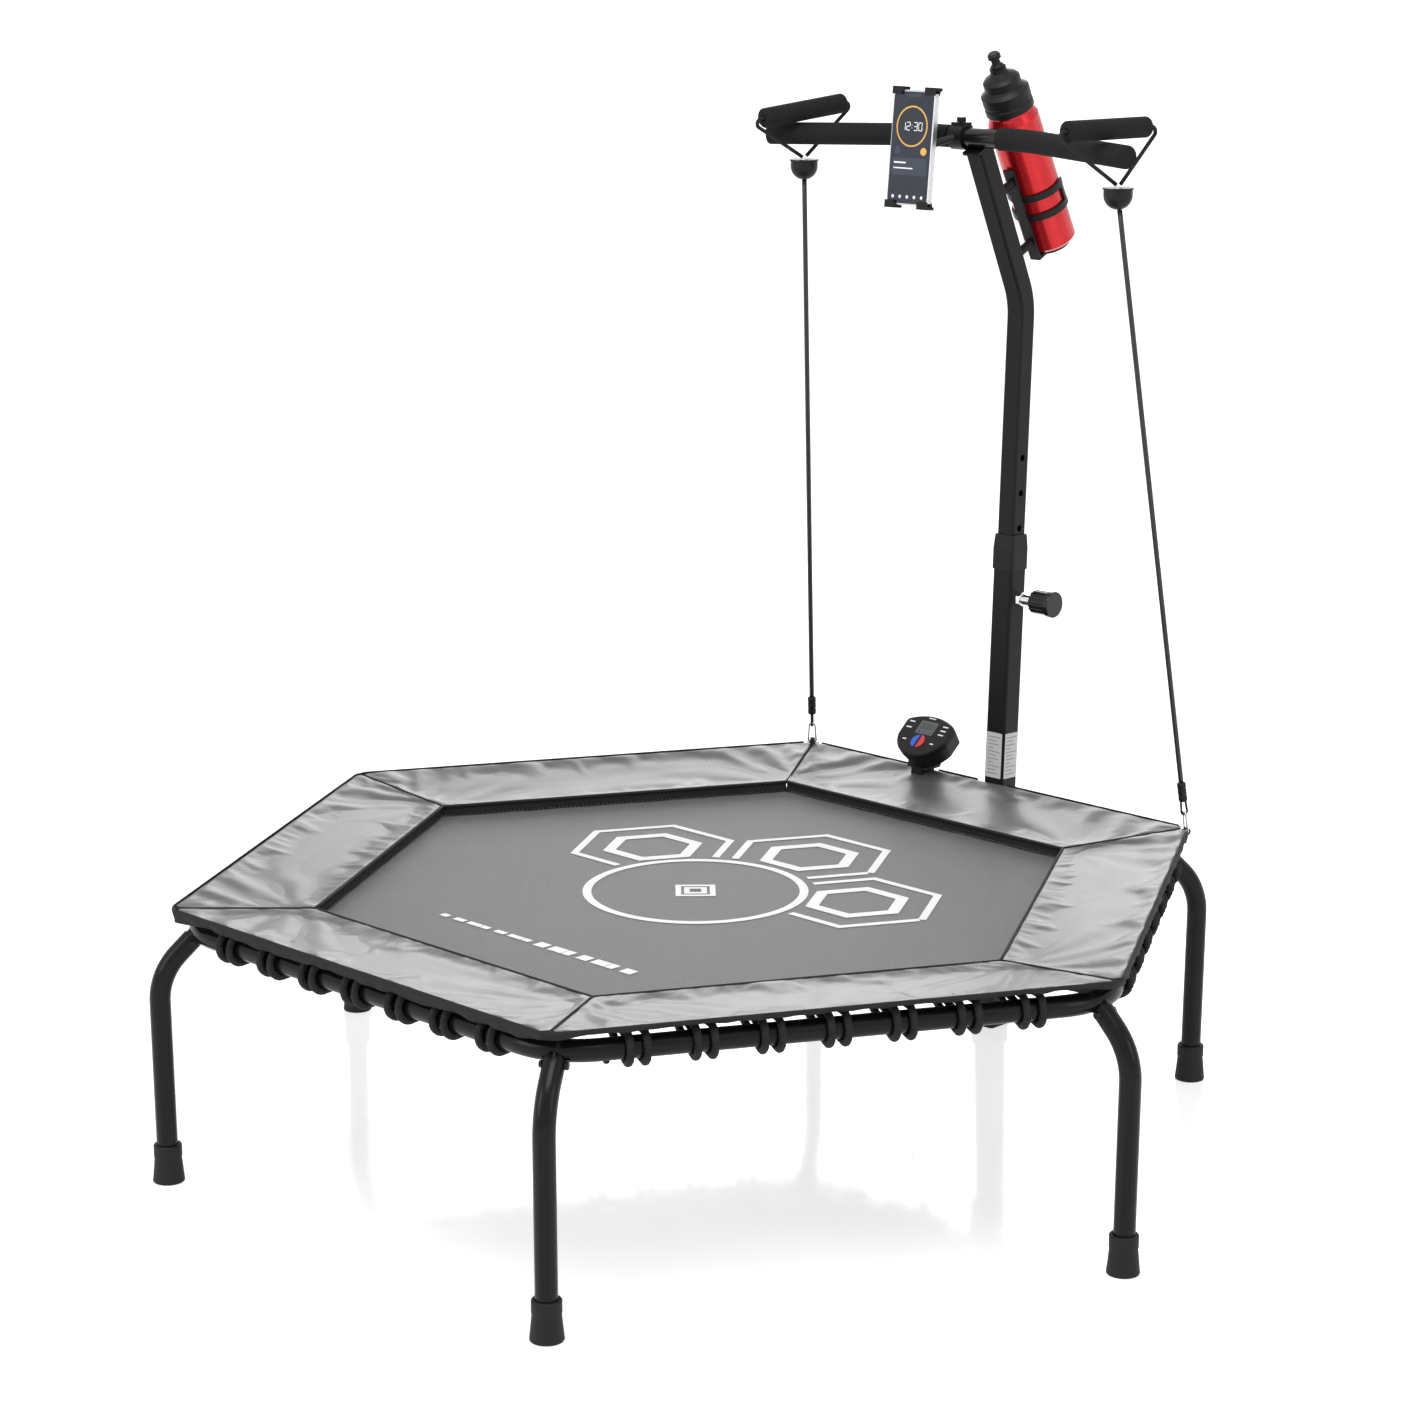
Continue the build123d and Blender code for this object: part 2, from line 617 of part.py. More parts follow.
with BuildPart() as lock_knob:
    with BuildSketch(Plane(mast_point(PIN_S, 0, KNOB_IN), z_dir=(1, 0, 0))):
        Circle(15.6)
        with PolarLocations(16.6, 16):
            Circle(2, mode=Mode.SUBTRACT)
    extrude(amount=KNOB_OUT - 7 - KNOB_IN)
    with BuildSketch(Plane(mast_point(PIN_S, 0, KNOB_OUT - 7), z_dir=(1, 0, 0))):
        Circle(17.5)
    extrude(amount=7)
    fillet(lock_knob.edges().sort_by(Axis.X)[-1], 1.5)
    with BuildSketch(Plane(mast_point(PIN_S, 0, KNOB_IN - 1), z_dir=(1, 0, 0))):
        Circle(4 + TOUCH)
    extrude(amount=60 + TOUCH - KNOB_IN + 1, mode=Mode.SUBTRACT)
save(lock_knob, "lock_knob")

# ---------------------------------------------------------------- handlebar and grips
bar_ends = [bar_point(x) for x in (-BAR_END_X, -BAR_STRAIGHT, BAR_STRAIGHT, BAR_END_X)]
with BuildPart() as handlebar:
    with BuildLine():
        path = FilletPolyline(*bar_ends, radius=BAR_BEND)
    with BuildSketch(Plane(path @ 0, z_dir=path % 0)):
        Circle(BAR_R)
        Circle(BAR_R - 1.5, mode=Mode.SUBTRACT)
    sweep(path=path)
save(handlebar, "handlebar")

for hand, name in ((-1, "bar_grip_left"), (1, "bar_grip_right")):
    stations = [hand * x for x in (GRIP_START, BAR_STRAIGHT, BAR_END_X)]
    run = [bar_point(x) for x in stations]
    tip = (run[2] - run[1]).normalized()
    with BuildPart() as grip:
        with BuildLine():
            path = FilletPolyline(run[0], run[1], run[2] + tip * 3, radius=BAR_BEND)
        with BuildSketch(Plane(path @ 0, z_dir=path % 0)):
            Circle(GRIP_R)
        sweep(path=path)
        fillet(grip.edges().filter_by(GeomType.CIRCLE).sort_by(Axis.X)[0 if hand < 0 else -1], 2)
        with BuildLine():
            path = FilletPolyline(*run, radius=BAR_BEND)
        with BuildSketch(Plane(path @ 0, z_dir=path % 0)):
            Circle(BAR_R + TOUCH)
        sweep(path=path, mode=Mode.SUBTRACT)
    save(grip, name)

# ---------------------------------------------------------------- tube handles
HANDLE = {
    120: (Vector(-251, 452, 1229), Vector(0.12, 0.985, 0.105).normalized()),
    60: (Vector(255, 446, 1229.5), Vector(0.13, 0.99, 0).normalized()),
}
for angle, name in ((120, "left_handle_grip"), (60, "right_handle_grip")):
    middle, run = HANDLE[angle]
    with BuildPart() as grip:
        with BuildSketch(Plane(middle - run * HANDLE_LEN / 2, z_dir=run)):
            Circle(HANDLE_R)
        extrude(amount=HANDLE_LEN)
        fillet(grip.edges().filter_by(GeomType.CIRCLE), 3)
        with BuildSketch(Plane(middle, z_dir=run)):
            Circle(HANDLE_BORE)
        extrude(amount=HANDLE_LEN, both=True, mode=Mode.SUBTRACT)
    save(grip, name)

with BuildPart() as handle_loops:
    for angle in (60, 120):
        middle, run = HANDLE[angle]
        bottom = BALL[angle] + Vector(0, 0, BALL_RIM + 4)
        near = middle - run * (HANDLE_LEN / 2 + LOOP_OUT)
        far = middle + run * (HANDLE_LEN / 2 + LOOP_OUT)
        with BuildLine():
            path = FilletPolyline(bottom - run * 4, near, far, bottom + run * 4, radius=6)
        with BuildSketch(Plane(path @ 0, z_dir=path % 0)):
            Circle(LOOP_R)
        sweep(path=path)
save(handle_loops, "handle_loops")

with BuildPart() as ball_stops:
    for angle in (60, 120):
        with BuildSketch(Plane(BALL[angle])):
            Circle(BALL_R)
        extrude(amount=BALL_RIM)
        with BuildSketch(Plane(BALL[angle] + Vector(0, 0, BALL_RIM - 2))):
            Circle(BALL_R + 1.2)
        extrude(amount=2)
        with Locations(BALL[angle]):
            Sphere(BALL_R, arc_size1=-90, arc_size2=0, align=(Align.CENTER, Align.CENTER, Align.MAX))
save(ball_stops, "ball_stops")

# ---------------------------------------------------------------- bottle and its cage
BOTTLE = Plane(
    origin=(0, 663.4, 1061.3),
    x_dir=(1, 0, 0),
    z_dir=(0, -sin(radians(BOTTLE_TILT)), cos(radians(BOTTLE_TILT))),
)
BOTTLE_SECTION = Plane(origin=BOTTLE.origin, x_dir=(1, 0, 0), z_dir=-BOTTLE.y_dir)
BOTTLE_AXIS = Axis(BOTTLE.origin, BOTTLE.z_dir)
SHOULDER = 185
CAP_LOW = 198
CAP_TOP = 257.5
NOZZLE_TOP = 278.4

with BuildPart() as bottle_body:
    with BuildSketch(BOTTLE_SECTION):
        Polygon(
            (0, 0),
            (BOTTLE_R - 4, 0),
            (BOTTLE_R, 4),
            (BOTTLE_R, SHOULDER),
            (29.5, CAP_LOW - 3),
            (29.5, CAP_LOW + 8),
            (27.5, CAP_LOW + 8),
            (27.5, CAP_LOW - 4),
            (BOTTLE_R - 2, SHOULDER - 1),
            (BOTTLE_R - 2, 5),
            (BOTTLE_R - 5, 2),
            (0, 2),
            align=None,
        )
    revolve(axis=BOTTLE_AXIS)
save(bottle_body, "bottle_body")

with BuildPart() as bottle_cap:
    with BuildSketch(BOTTLE_SECTION):
        Polygon(
            (29.9, CAP_LOW),
            (32, CAP_LOW),
            (32, 206),
            (30.8, 208),
            (30.8, 210),
            (32, 212),
            (32, 224),
            (26.5, 228),
            (24.5, 231),
            (24.5, 241),
            (21, 245),
            (13, 249),
            (11, 252),
            (11, CAP_TOP),
            (5, CAP_TOP),
            (5, 246),
            (20, 241),
            (22, 228),
            (29.9, 222),
            align=None,
        )
    revolve(axis=BOTTLE_AXIS)
save(bottle_cap, "bottle_cap")

with BuildPart() as bottle_nozzle:
    with BuildSketch(BOTTLE_SECTION):
        Polygon(
            (0, 250),
            (4.6, 250),
            (4.6, CAP_TOP + CLEAR),
            (8.5, CAP_TOP + CLEAR),
            (8.5, 261),
            (6, 263),
            (5.5, 269),
            (8.5, 271),
            (8.5, 275.5),
            (6.5, NOZZLE_TOP),
            (0, NOZZLE_TOP),
            align=None,
        )
    revolve(axis=BOTTLE_AXIS)
save(bottle_nozzle, "bottle_nozzle")

SPINE_FRONT = -BOTTLE_R - 5
# the cage: two close bands on a spine, tied by an upright at each side
BAND_LOW = 50
BAND_GAP = 28
BAND_TALL = 9
with BuildPart() as bottle_cage:
    with BuildSketch(BOTTLE.offset(-6)):
        with Locations((0, (SPINE_FRONT - BOTTLE_R - 1.2) / 2)):
            Rectangle(16, -BOTTLE_R - 1.2 - SPINE_FRONT)
    extrude(amount=134)
    with BuildSketch(BOTTLE.offset(-6)):
        with Locations((0, -1)):
            Rectangle(16, 76)
        Circle(24)
    extrude(amount=4)
    with BuildSketch(BOTTLE.offset(-6)):
        with Locations((0, BOTTLE_R + 2)):
            Rectangle(22, 2.4)
    extrude(amount=20)
    for low in (BAND_LOW, BAND_LOW + BAND_GAP):
        with BuildSketch(BOTTLE.offset(low)):
            Circle(BOTTLE_R + 3.2)
            Circle(BOTTLE_R + 0.7, mode=Mode.SUBTRACT)
            with Locations((0, BOTTLE_R + 8)):
                Rectangle(60, 46, mode=Mode.SUBTRACT)
        extrude(amount=BAND_TALL)
    with BuildSketch(BOTTLE.offset(BAND_LOW)):
        Circle(BOTTLE_R + 3.2)
        Circle(BOTTLE_R + 0.7, mode=Mode.SUBTRACT)
        with Locations((0, 15)):
            Rectangle(90, 8, mode=Mode.INTERSECT)
    extrude(amount=BAND_GAP + BAND_TALL)
save(bottle_cage, "bottle_cage")

with BuildPart() as cage_screws:
    for s in (20, 110):
        face = BOTTLE.from_local_coords(Vector(0, SPINE_FRONT - TOUCH, s))
        span = LIMB.to_local_coords(face).Y - UPPER_SIZE / 2 - 0.4
        with BuildSketch(Plane(face, z_dir=-BOTTLE.y_dir)):
            Circle(6)
        extrude(amount=span)
save(cage_screws, "cage_screws")

# ---------------------------------------------------------------- phone holder
CLAMP = Plane(origin=BAR_CENTRE + Vector(-36, 0, 0), x_dir=(0, 1, 0), z_dir=(1, 0, 0))
PHONE = Plane(
    origin=(-50, 440, 1191.5),
    x_dir=(1, 0, 0),
    z_dir=(0, -cos(radians(PHONE_LEAN)), sin(radians(PHONE_LEAN))),
)
PHONE_WIDE, PHONE_DEEP, PHONE_TALL = PHONE_SIZE
BALL_JOINT = PHONE.from_local_coords(Vector(0, 0, -18))

with BuildPart() as holder_clamp:
    with BuildSketch(CLAMP):
        Circle(16.5)
        with Locations((0, 14)):
            Rectangle(15, 9)
    extrude(amount=22)
    arm_start = BAR_CENTRE + Vector(-25, -14.8, 0)
    with BuildSketch(Plane(arm_start, z_dir=BALL_JOINT - arm_start)):
        Circle(4.5)
    extrude(amount=(BALL_JOINT - arm_start).length)
    with Locations(BALL_JOINT):
        Sphere(6)
    with BuildSketch(CLAMP):
        Circle(BAR_R + CLEAR)
    extrude(amount=22, mode=Mode.SUBTRACT)
save(holder_clamp, "holder_clamp")

with BuildPart() as clamp_knob:
    with BuildSketch(Plane(BAR_CENTRE + Vector(-25, 0, 18.5 + CLEAR))):
        Circle(6)
        with PolarLocations(6.6, 10):
            Circle(1.1, mode=Mode.SUBTRACT)
    extrude(amount=6)
save(clamp_knob, "clamp_knob")

with BuildPart() as phone:
    with BuildSketch(PHONE.offset(-PHONE_DEEP / 2)):
        RectangleRounded(PHONE_WIDE, PHONE_TALL, 9)
    extrude(amount=PHONE_DEEP)
    fillet(phone.faces().sort_by(Axis(PHONE.origin, PHONE.z_dir))[-1].edges(), 1.2)
save(phone, "phone")

BACK_IN = -PHONE_DEEP / 2 - TOUCH
BACK_OUT = BACK_IN - 5
ROD_Z = (BACK_IN + BACK_OUT) / 2


for hand, name in ((-1, "phone_cradle"), (1, "upper_jaw")):
    edge = hand * (PHONE_TALL / 2 + TOUCH)
    outline = [
        (-14, hand * 21),
        (14, hand * 21),
        (34, edge + hand * 3),
        (22, edge + hand * 3),
        (0, hand * 46),
        (-22, edge + hand * 3),
        (-34, edge + hand * 3),
    ]
    with BuildPart() as holder:
        with BuildSketch(PHONE.offset(BACK_IN)):
            Polygon(*outline, align=None)
            if hand < 0:
                with Locations((0, -1)):
                    Rectangle(40, 42)
        extrude(amount=BACK_OUT - BACK_IN)
        with BuildSketch(PHONE.offset(BACK_OUT)):
            with Locations((-CLAW_AT, edge + hand * 2), (CLAW_AT, edge + hand * 2)):
                Rectangle(CLAW_WIDE, 4)
        extrude(amount=PHONE_DEEP / 2 + 3 - BACK_OUT)
        with BuildSketch(PHONE.offset(PHONE_DEEP / 2 + TOUCH)):
            with Locations((-CLAW_AT, edge - hand * 1), (CLAW_AT, edge - hand * 1)):
                Rectangle(CLAW_WIDE, 10)
        extrude(amount=2.95)
        for x in (-12, 12):
            with BuildSketch(Plane(PHONE.from_local_coords(Vector(x, 22, ROD_Z)), z_dir=-PHONE.y_dir)):
                Circle(1.2 if hand > 0 else 1.7)
            extrude(amount=30, mode=Mode.ADD if hand > 0 else Mode.SUBTRACT)
        if hand < 0:
            with BuildSketch(PHONE.offset(BACK_OUT)):
                Circle(10)
            extrude(amount=-18 + 6 + CLEAR - BACK_OUT)
    save(holder, name)

# ---------------------------------------------------------------- exercise counter
COUNTER = Plane(
    origin=(-105, 540.7, 393.1),
    x_dir=(1, 0, 0),
    z_dir=(0, -sin(radians(90 - COUNTER_LEAN)), cos(radians(90 - COUNTER_LEAN))),
)
FACE_DEEP = 10
HEAD_DEEP = 31

with BuildSketch() as head_outline:
    with BuildLine():
        Line((-41, 22), (-41, -4))
        ThreePointArc((-41, -4), (0, -36), (41, -4))
        Line((41, -4), (41, 22))
        ThreePointArc((41, 22), (0, 33), (-41, 22))
    make_face()
    fillet(head_outline.vertices(), 7)

with BuildSketch() as button_outline:
    Circle(BUTTON_R)
    with Locations((BUTTON_R / 2 + BUTTON_SPLIT, 0)):
        Rectangle(BUTTON_R, 3 * BUTTON_R, mode=Mode.INTERSECT)

LCD_AT = (0, 12)
BUTTON_AT = (0, -12)
with BuildPart() as counter_face:
    with BuildSketch(COUNTER):
        add(head_outline.sketch)
    extrude(amount=-FACE_DEEP)
    chamfer(counter_face.faces().sort_by(Axis(COUNTER.origin, COUNTER.z_dir))[-1].edges(), 2)
    with BuildSketch(COUNTER):
        with Locations(LCD_AT):
            Rectangle(30.2, 22.2)
    extrude(amount=-1.4, mode=Mode.SUBTRACT)
    with BuildSketch(COUNTER):
        for turn in (0, 180):
            with Locations(Location((*BUTTON_AT, 0), (0, 0, turn))):
                add(offset(button_outline.sketch, CLEAR, mode=Mode.PRIVATE))
    extrude(amount=-5.4, mode=Mode.SUBTRACT)
save(counter_face, "counter_face")

with BuildPart() as counter_lcd:
    with BuildSketch(COUNTER.offset(-1.4 + TOUCH)):
        with Locations(LCD_AT):
            Rectangle(30, 22)
    extrude(amount=1.2)
save(counter_lcd, "counter_lcd")

for turn, name in ((180, "button_blue"), (0, "button_red")):
    with BuildPart() as button:
        with BuildSketch(COUNTER.offset(-3)):
            with Locations(Location((*BUTTON_AT, 0), (0, 0, turn))):
                add(button_outline.sketch)
        extrude(amount=4.8)
        chamfer(button.faces().sort_by(Axis(COUNTER.origin, COUNTER.z_dir))[-1].edges(), 0.8)
    save(button, name)

# the back shell runs down into a neck and a ring that grips the rail
NECK_WIDE = 18
with BuildPart() as counter_back:
    with BuildSketch(COUNTER.offset(-FACE_DEEP - TOUCH)):
        add(head_outline.sketch)
    extrude(amount=-(HEAD_DEEP - FACE_DEEP), taper=9)
    with BuildSketch(upright(90, COUNTER_X)):
        Polygon((536, 322), (556, 324), (569, 350), (568, 366), (560, 382), (548, 376), (538, 352), align=None)
        with Locations((RAIL_APOTHEM, RAIL_Z)):
            Circle(TUBE_R + 3.7)
            Circle(TUBE_R + TOUCH, mode=Mode.SUBTRACT)
    extrude(amount=NECK_WIDE / 2, both=True)
    with BuildSketch(upright(90, COUNTER_X)):
        Polygon((539, 345), (566, 345), (572, 356), (568, 368), (560, 380), (548, 374), align=None)
    extrude(amount=NECK_WIDE, both=True)
save(counter_back, "counter_back")

# step sensor under the rail, and the lead that joins it to the counter
SENSOR_X = -96.5
with BuildPart() as count_sensor:
    with BuildSketch(Plane.XY.offset(RAIL_Z - TUBE_R - TOUCH)):
        with Locations((SENSOR_X, RAIL_APOTHEM)):
            RectangleRounded(10, 24, 4)
    extrude(amount=-15)
save(count_sensor, "count_sensor")

LEAD_R = 1.0
LEAD_OUT = Vector(COUNTER_X, RAIL_APOTHEM, RAIL_Z - TUBE_R - 3.7 - 0.1)
LEAD_BACK = Vector(SENSOR_X, RAIL_APOTHEM, RAIL_Z - TUBE_R - 15.2)
LEAD_LEFT = Vector(-118, RAIL_APOTHEM + 1, 176)
LEAD_RIGHT = Vector(-86, RAIL_APOTHEM + 1, 176)
lead_down = (LEAD_LEFT - LEAD_OUT).normalized()
PLUG_TOP = LEAD_OUT + lead_down * 48
PLUG_LOW = LEAD_OUT + lead_down * 90
with BuildPart() as counter_lead:
    with BuildSketch(Plane(LEAD_OUT, z_dir=lead_down)):
        Circle(LEAD_R)
    extrude(amount=48 - TOUCH)
save(counter_lead, "counter_lead")

with BuildPart() as lead_connector:
    with BuildSketch(Plane(PLUG_TOP, z_dir=lead_down)):
        Circle(3.4)
    extrude(amount=22)
    with BuildSketch(Plane(PLUG_TOP + lead_down * 20, z_dir=lead_down)):
        Circle(4.2)
    extrude(amount=22)
save(lead_connector, "lead_connector")

with BuildPart() as sensor_lead:
    with BuildLine():
        path = FilletPolyline(PLUG_LOW + lead_down * TOUCH, LEAD_LEFT, LEAD_RIGHT, LEAD_BACK, radius=13)
    with BuildSketch(Plane(path @ 0, z_dir=path % 0)):
        Circle(LEAD_R)
    sweep(path=path)
save(sensor_lead, "sensor_lead")
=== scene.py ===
"""Looks of the fitness trampoline: fabric, cords, graphics, materials, light and camera."""

from math import atan2, cos, exp, pi, radians, sin, tan

import bpy
from mathutils import Matrix, Vector, noise


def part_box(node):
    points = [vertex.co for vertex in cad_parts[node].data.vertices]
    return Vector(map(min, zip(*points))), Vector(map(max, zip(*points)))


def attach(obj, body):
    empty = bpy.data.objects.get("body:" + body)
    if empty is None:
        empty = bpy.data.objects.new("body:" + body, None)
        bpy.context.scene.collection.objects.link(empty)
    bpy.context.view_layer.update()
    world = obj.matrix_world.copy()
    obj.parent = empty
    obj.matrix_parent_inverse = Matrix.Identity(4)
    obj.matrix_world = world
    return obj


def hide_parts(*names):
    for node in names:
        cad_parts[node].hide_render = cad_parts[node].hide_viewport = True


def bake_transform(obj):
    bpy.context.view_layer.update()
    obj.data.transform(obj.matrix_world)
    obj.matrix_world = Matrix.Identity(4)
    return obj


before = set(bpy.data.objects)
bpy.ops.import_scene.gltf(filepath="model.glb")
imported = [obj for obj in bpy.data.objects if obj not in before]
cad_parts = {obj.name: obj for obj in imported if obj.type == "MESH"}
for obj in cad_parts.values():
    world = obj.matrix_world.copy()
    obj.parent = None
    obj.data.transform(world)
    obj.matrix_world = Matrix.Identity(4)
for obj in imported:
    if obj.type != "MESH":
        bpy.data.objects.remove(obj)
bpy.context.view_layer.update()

MM = 0.001
CORNERS = [240, 300, 0, 60, 120, 180]
MAST_SIDE = 3
MAT_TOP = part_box("jump_mat")[1][2]
MAT_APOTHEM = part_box("jump_mat")[1][1]
RAIL_Z = 311.4 * MM
RAIL_APOTHEM = 545.7 * MM
TUBE_R = 12.7 * MM
PAD_IN = 415 * MM
PAD_OUT = 563 * MM
PAD_CORNER = 645 * MM
PAD_TOP_IN = 327 * MM
PAD_TOP_OUT = 341 * MM
BUNGEE_STEP = 75 * MM
BUNGEE_R = 4.5 * MM
MITRE = radians(30)  # half the angle that one side takes up round the centre
UP = Vector((0, 0, 1))
RIGHT = Vector((1, 0, 0))


def direction(angle):
    """Unit vector in the floor plane."""
    return Vector((cos(radians(angle)), sin(radians(angle)), 0))


def side_point(k, out, along, height):
    """Point on side k: out from the centre, along the side, and up."""
    normal = direction(CORNERS[k] + 30)
    tangent = direction(CORNERS[k] + 120)
    return normal * out + tangent * along + UP * height


# ---------------------------------------------------------------- materials
def material(
    name, color, rough, metallic=0.0, spec=0.5, bump=None, mottle=0.0, coat=0.0, sheen=0.0, wave=None
):
    """A principled material with noise in its colour and roughness, and noise or weave in its bump.

    bump is (scale, strength, depth) of a fine noise, and wave is (pitch, strength, depth) of a woven thread.
    """
    mat = bpy.data.materials.new(name)
    mat.use_nodes = True
    nodes = mat.node_tree.nodes
    links = mat.node_tree.links
    shader = nodes["Principled BSDF"]
    shader.inputs["Roughness"].default_value = rough
    shader.inputs["Metallic"].default_value = metallic
    shader.inputs["Specular IOR Level"].default_value = spec
    shader.inputs["Coat Weight"].default_value = coat
    shader.inputs["Coat Roughness"].default_value = 0.12
    shader.inputs["Sheen Weight"].default_value = sheen
    where = nodes.new("ShaderNodeTexCoord")
    cloud = nodes.new("ShaderNodeTexNoise")
    cloud.inputs["Scale"].default_value = 38
    cloud.inputs["Detail"].default_value = 6
    links.new(where.outputs["Object"], cloud.inputs["Vector"])
    ramp = nodes.new("ShaderNodeMix")
    ramp.data_type = "RGBA"
    ramp.inputs["A"].default_value = (*[c * (1 - mottle) for c in color], 1)
    ramp.inputs["B"].default_value = (*[min(c * (1 + mottle) + 0.004 * mottle, 1) for c in color], 1)
    links.new(cloud.outputs["Fac"], ramp.inputs["Factor"])
    links.new(ramp.outputs["Result"], shader.inputs["Base Color"])
    spread = nodes.new("ShaderNodeMapRange")
    spread.inputs["To Min"].default_value = max(rough - 0.07, 0.03)
    spread.inputs["To Max"].default_value = min(rough + 0.07, 1)
    links.new(cloud.outputs["Fac"], spread.inputs["Value"])
    links.new(spread.outputs["Result"], shader.inputs["Roughness"])
    last = None
    if bump:
        scale, strength, depth = bump
        grain = nodes.new("ShaderNodeTexNoise")
        grain.inputs["Scale"].default_value = scale
        grain.inputs["Detail"].default_value = 4
        links.new(where.outputs["Object"], grain.inputs["Vector"])
        last = nodes.new("ShaderNodeBump")
        last.inputs["Strength"].default_value = strength
        last.inputs["Distance"].default_value = depth
        links.new(grain.outputs["Fac"], last.inputs["Height"])
    if wave:
        pitch, strength, depth = wave
        for axis in ("X", "Y"):
            thread = nodes.new("ShaderNodeTexWave")
            thread.bands_direction = axis
            thread.inputs["Scale"].default_value = pi * 2 / (20 * pitch)
            thread.inputs["Distortion"].default_value = 0.4
            links.new(where.outputs["Object"], thread.inputs["Vector"])
            knit = nodes.new("ShaderNodeBump")
            knit.inputs["Strength"].default_value = strength
            knit.inputs["Distance"].default_value = depth
            links.new(thread.outputs["Fac"], knit.inputs["Height"])
            if last:
                links.new(last.outputs["Normal"], knit.inputs["Normal"])
            last = knit
    if last:
        links.new(last.outputs["Normal"], shader.inputs["Normal"])
    return mat


frame_paint = material("frame_paint", (0.005, 0.005, 0.006), 0.24, spec=0.16, bump=(900, 0.02, 0.0002),
                       coat=0.03)
post_paint = material("post_paint", (0.005, 0.005, 0.006), 0.34, spec=0.18, bump=(1200, 0.1, 0.0003),
                      mottle=0.1)
rubber = material("rubber", (0.009, 0.009, 0.009), 0.62, spec=0.25, bump=(700, 0.2, 0.0004), mottle=0.3)
foam = material("foam", (0.010, 0.010, 0.011), 0.85, spec=0.2, bump=(1500, 0.6, 0.0006), mottle=0.35)
zinc = material("zinc", (0.55, 0.55, 0.56), 0.32, metallic=1, bump=(900, 0.1, 0.0002), mottle=0.1)
chrome = material("chrome", (0.75, 0.75, 0.77), 0.12, metallic=1, mottle=0.05)
plastic = material("plastic", (0.007, 0.007, 0.008), 0.42, spec=0.22, bump=(1800, 0.15, 0.0002), mottle=0.15)
gloss = material("gloss", (0.006, 0.006, 0.007), 0.2, spec=0.35, mottle=0.1, coat=0.1)
webbing_mat = material("webbing", (0.014, 0.014, 0.015), 0.8, spec=0.3, wave=(0.0016, 0.6, 0.0006),
                       mottle=0.3)
cord_mat = material("cord", (0.012, 0.012, 0.013), 0.75, spec=0.3, wave=(0.002, 0.7, 0.0006), mottle=0.3)
tube_mat = material("tube_rubber", (0.014, 0.014, 0.015), 0.4, bump=(600, 0.1, 0.0003), mottle=0.2)
mat_fabric = material("mat_fabric", (0.088, 0.088, 0.09), 0.48, spec=0.4, wave=(0.0032, 0.8, 0.0008),
                      mottle=0.3, sheen=0.25)
pad_cover = material("pad_cover", (0.07, 0.07, 0.073), 0.38, spec=0.46, wave=(0.0035, 0.3, 0.0004),
                     bump=(420, 0.08, 0.0006), mottle=0.12, coat=0.1, sheen=0.15)
binding = material("binding", (0.008, 0.008, 0.009), 0.7, spec=0.3, wave=(0.0016, 0.5, 0.0005), mottle=0.25)
print_white = material("print_white", (0.93, 0.93, 0.93), 0.6, spec=0.3, wave=(0.0032, 0.5, 0.0006),
                       mottle=0.06)
stitch_white = material("stitch_white", (0.6, 0.6, 0.6), 0.7, mottle=0.1, bump=(900, 0.3, 0.0003))
bottle_red = material("bottle_red", (0.55, 0.008, 0.012), 0.26, metallic=0.75, bump=(500, 0.05, 0.0003),
                      mottle=0.12, coat=0.4)
screen_dark = material("screen_dark", (0.010, 0.014, 0.028), 0.16, spec=0.6, mottle=0.15)
screen_panel = material("screen_panel", (0.035, 0.045, 0.07), 0.2, mottle=0.1)
ring_orange = material("ring_orange", (0.75, 0.42, 0.08), 0.35, mottle=0.05)
digit_white = material("digit_white", (0.85, 0.85, 0.85), 0.4, mottle=0.04)
lcd_glass = material("lcd_glass", (0.085, 0.095, 0.095), 0.2, spec=0.6, mottle=0.08)
lcd_ink = material("lcd_ink", (0.015, 0.018, 0.016), 0.4, mottle=0.1)
key_blue = material("key_blue", (0.02, 0.10, 0.55), 0.3, mottle=0.08, coat=0.3)
key_red = material("key_red", (0.62, 0.02, 0.03), 0.3, mottle=0.08, coat=0.3)
label_paper = material("label_paper", (0.62, 0.62, 0.61), 0.5, bump=(300, 0.05, 0.0002), mottle=0.04)
label_grey = material("label_grey", (0.30, 0.30, 0.30), 0.6, mottle=0.1)
frame_silver = material("frame_silver", (0.6, 0.6, 0.62), 0.25, metallic=1, mottle=0.05)

LOOKS = {
    frame_paint: [f"frame_rail_{i}" for i in range(1, 7)] + [f"leg_{i}" for i in range(1, 7)],
    post_paint: ["lower_post", "upper_post", "post_bracket"],
    gloss: ["handlebar", "lock_knob"],
    rubber: ["feet", "post_foot_cap"],
    foam: ["bar_grip_left", "bar_grip_right", "left_handle_grip", "right_handle_grip"],
    zinc: ["snap_hooks", "left_gate", "right_gate", "lock_pin"],
    chrome: ["lock_bush"],
    plastic: [
        "frame_screws", "post_collar", "counter_face", "counter_back", "count_sensor", "holder_clamp",
        "clamp_knob", "phone_cradle", "upper_jaw", "bottle_cage", "cage_screws", "bottle_cap",
        "bottle_nozzle", "lead_connector", "ball_stops",
    ],
    webbing_mat: ["handle_loops", "hook_straps"],
    binding: ["mat_webbing"],
    bottle_red: ["bottle_body"],
    lcd_glass: ["counter_lcd"],
    key_blue: ["button_blue"],
    key_red: ["button_red"],
    frame_silver: ["phone"],
}
for look, names in LOOKS.items():
    for name in names:
        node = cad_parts[name]
        node.data.materials.clear()
        node.data.materials.append(look)


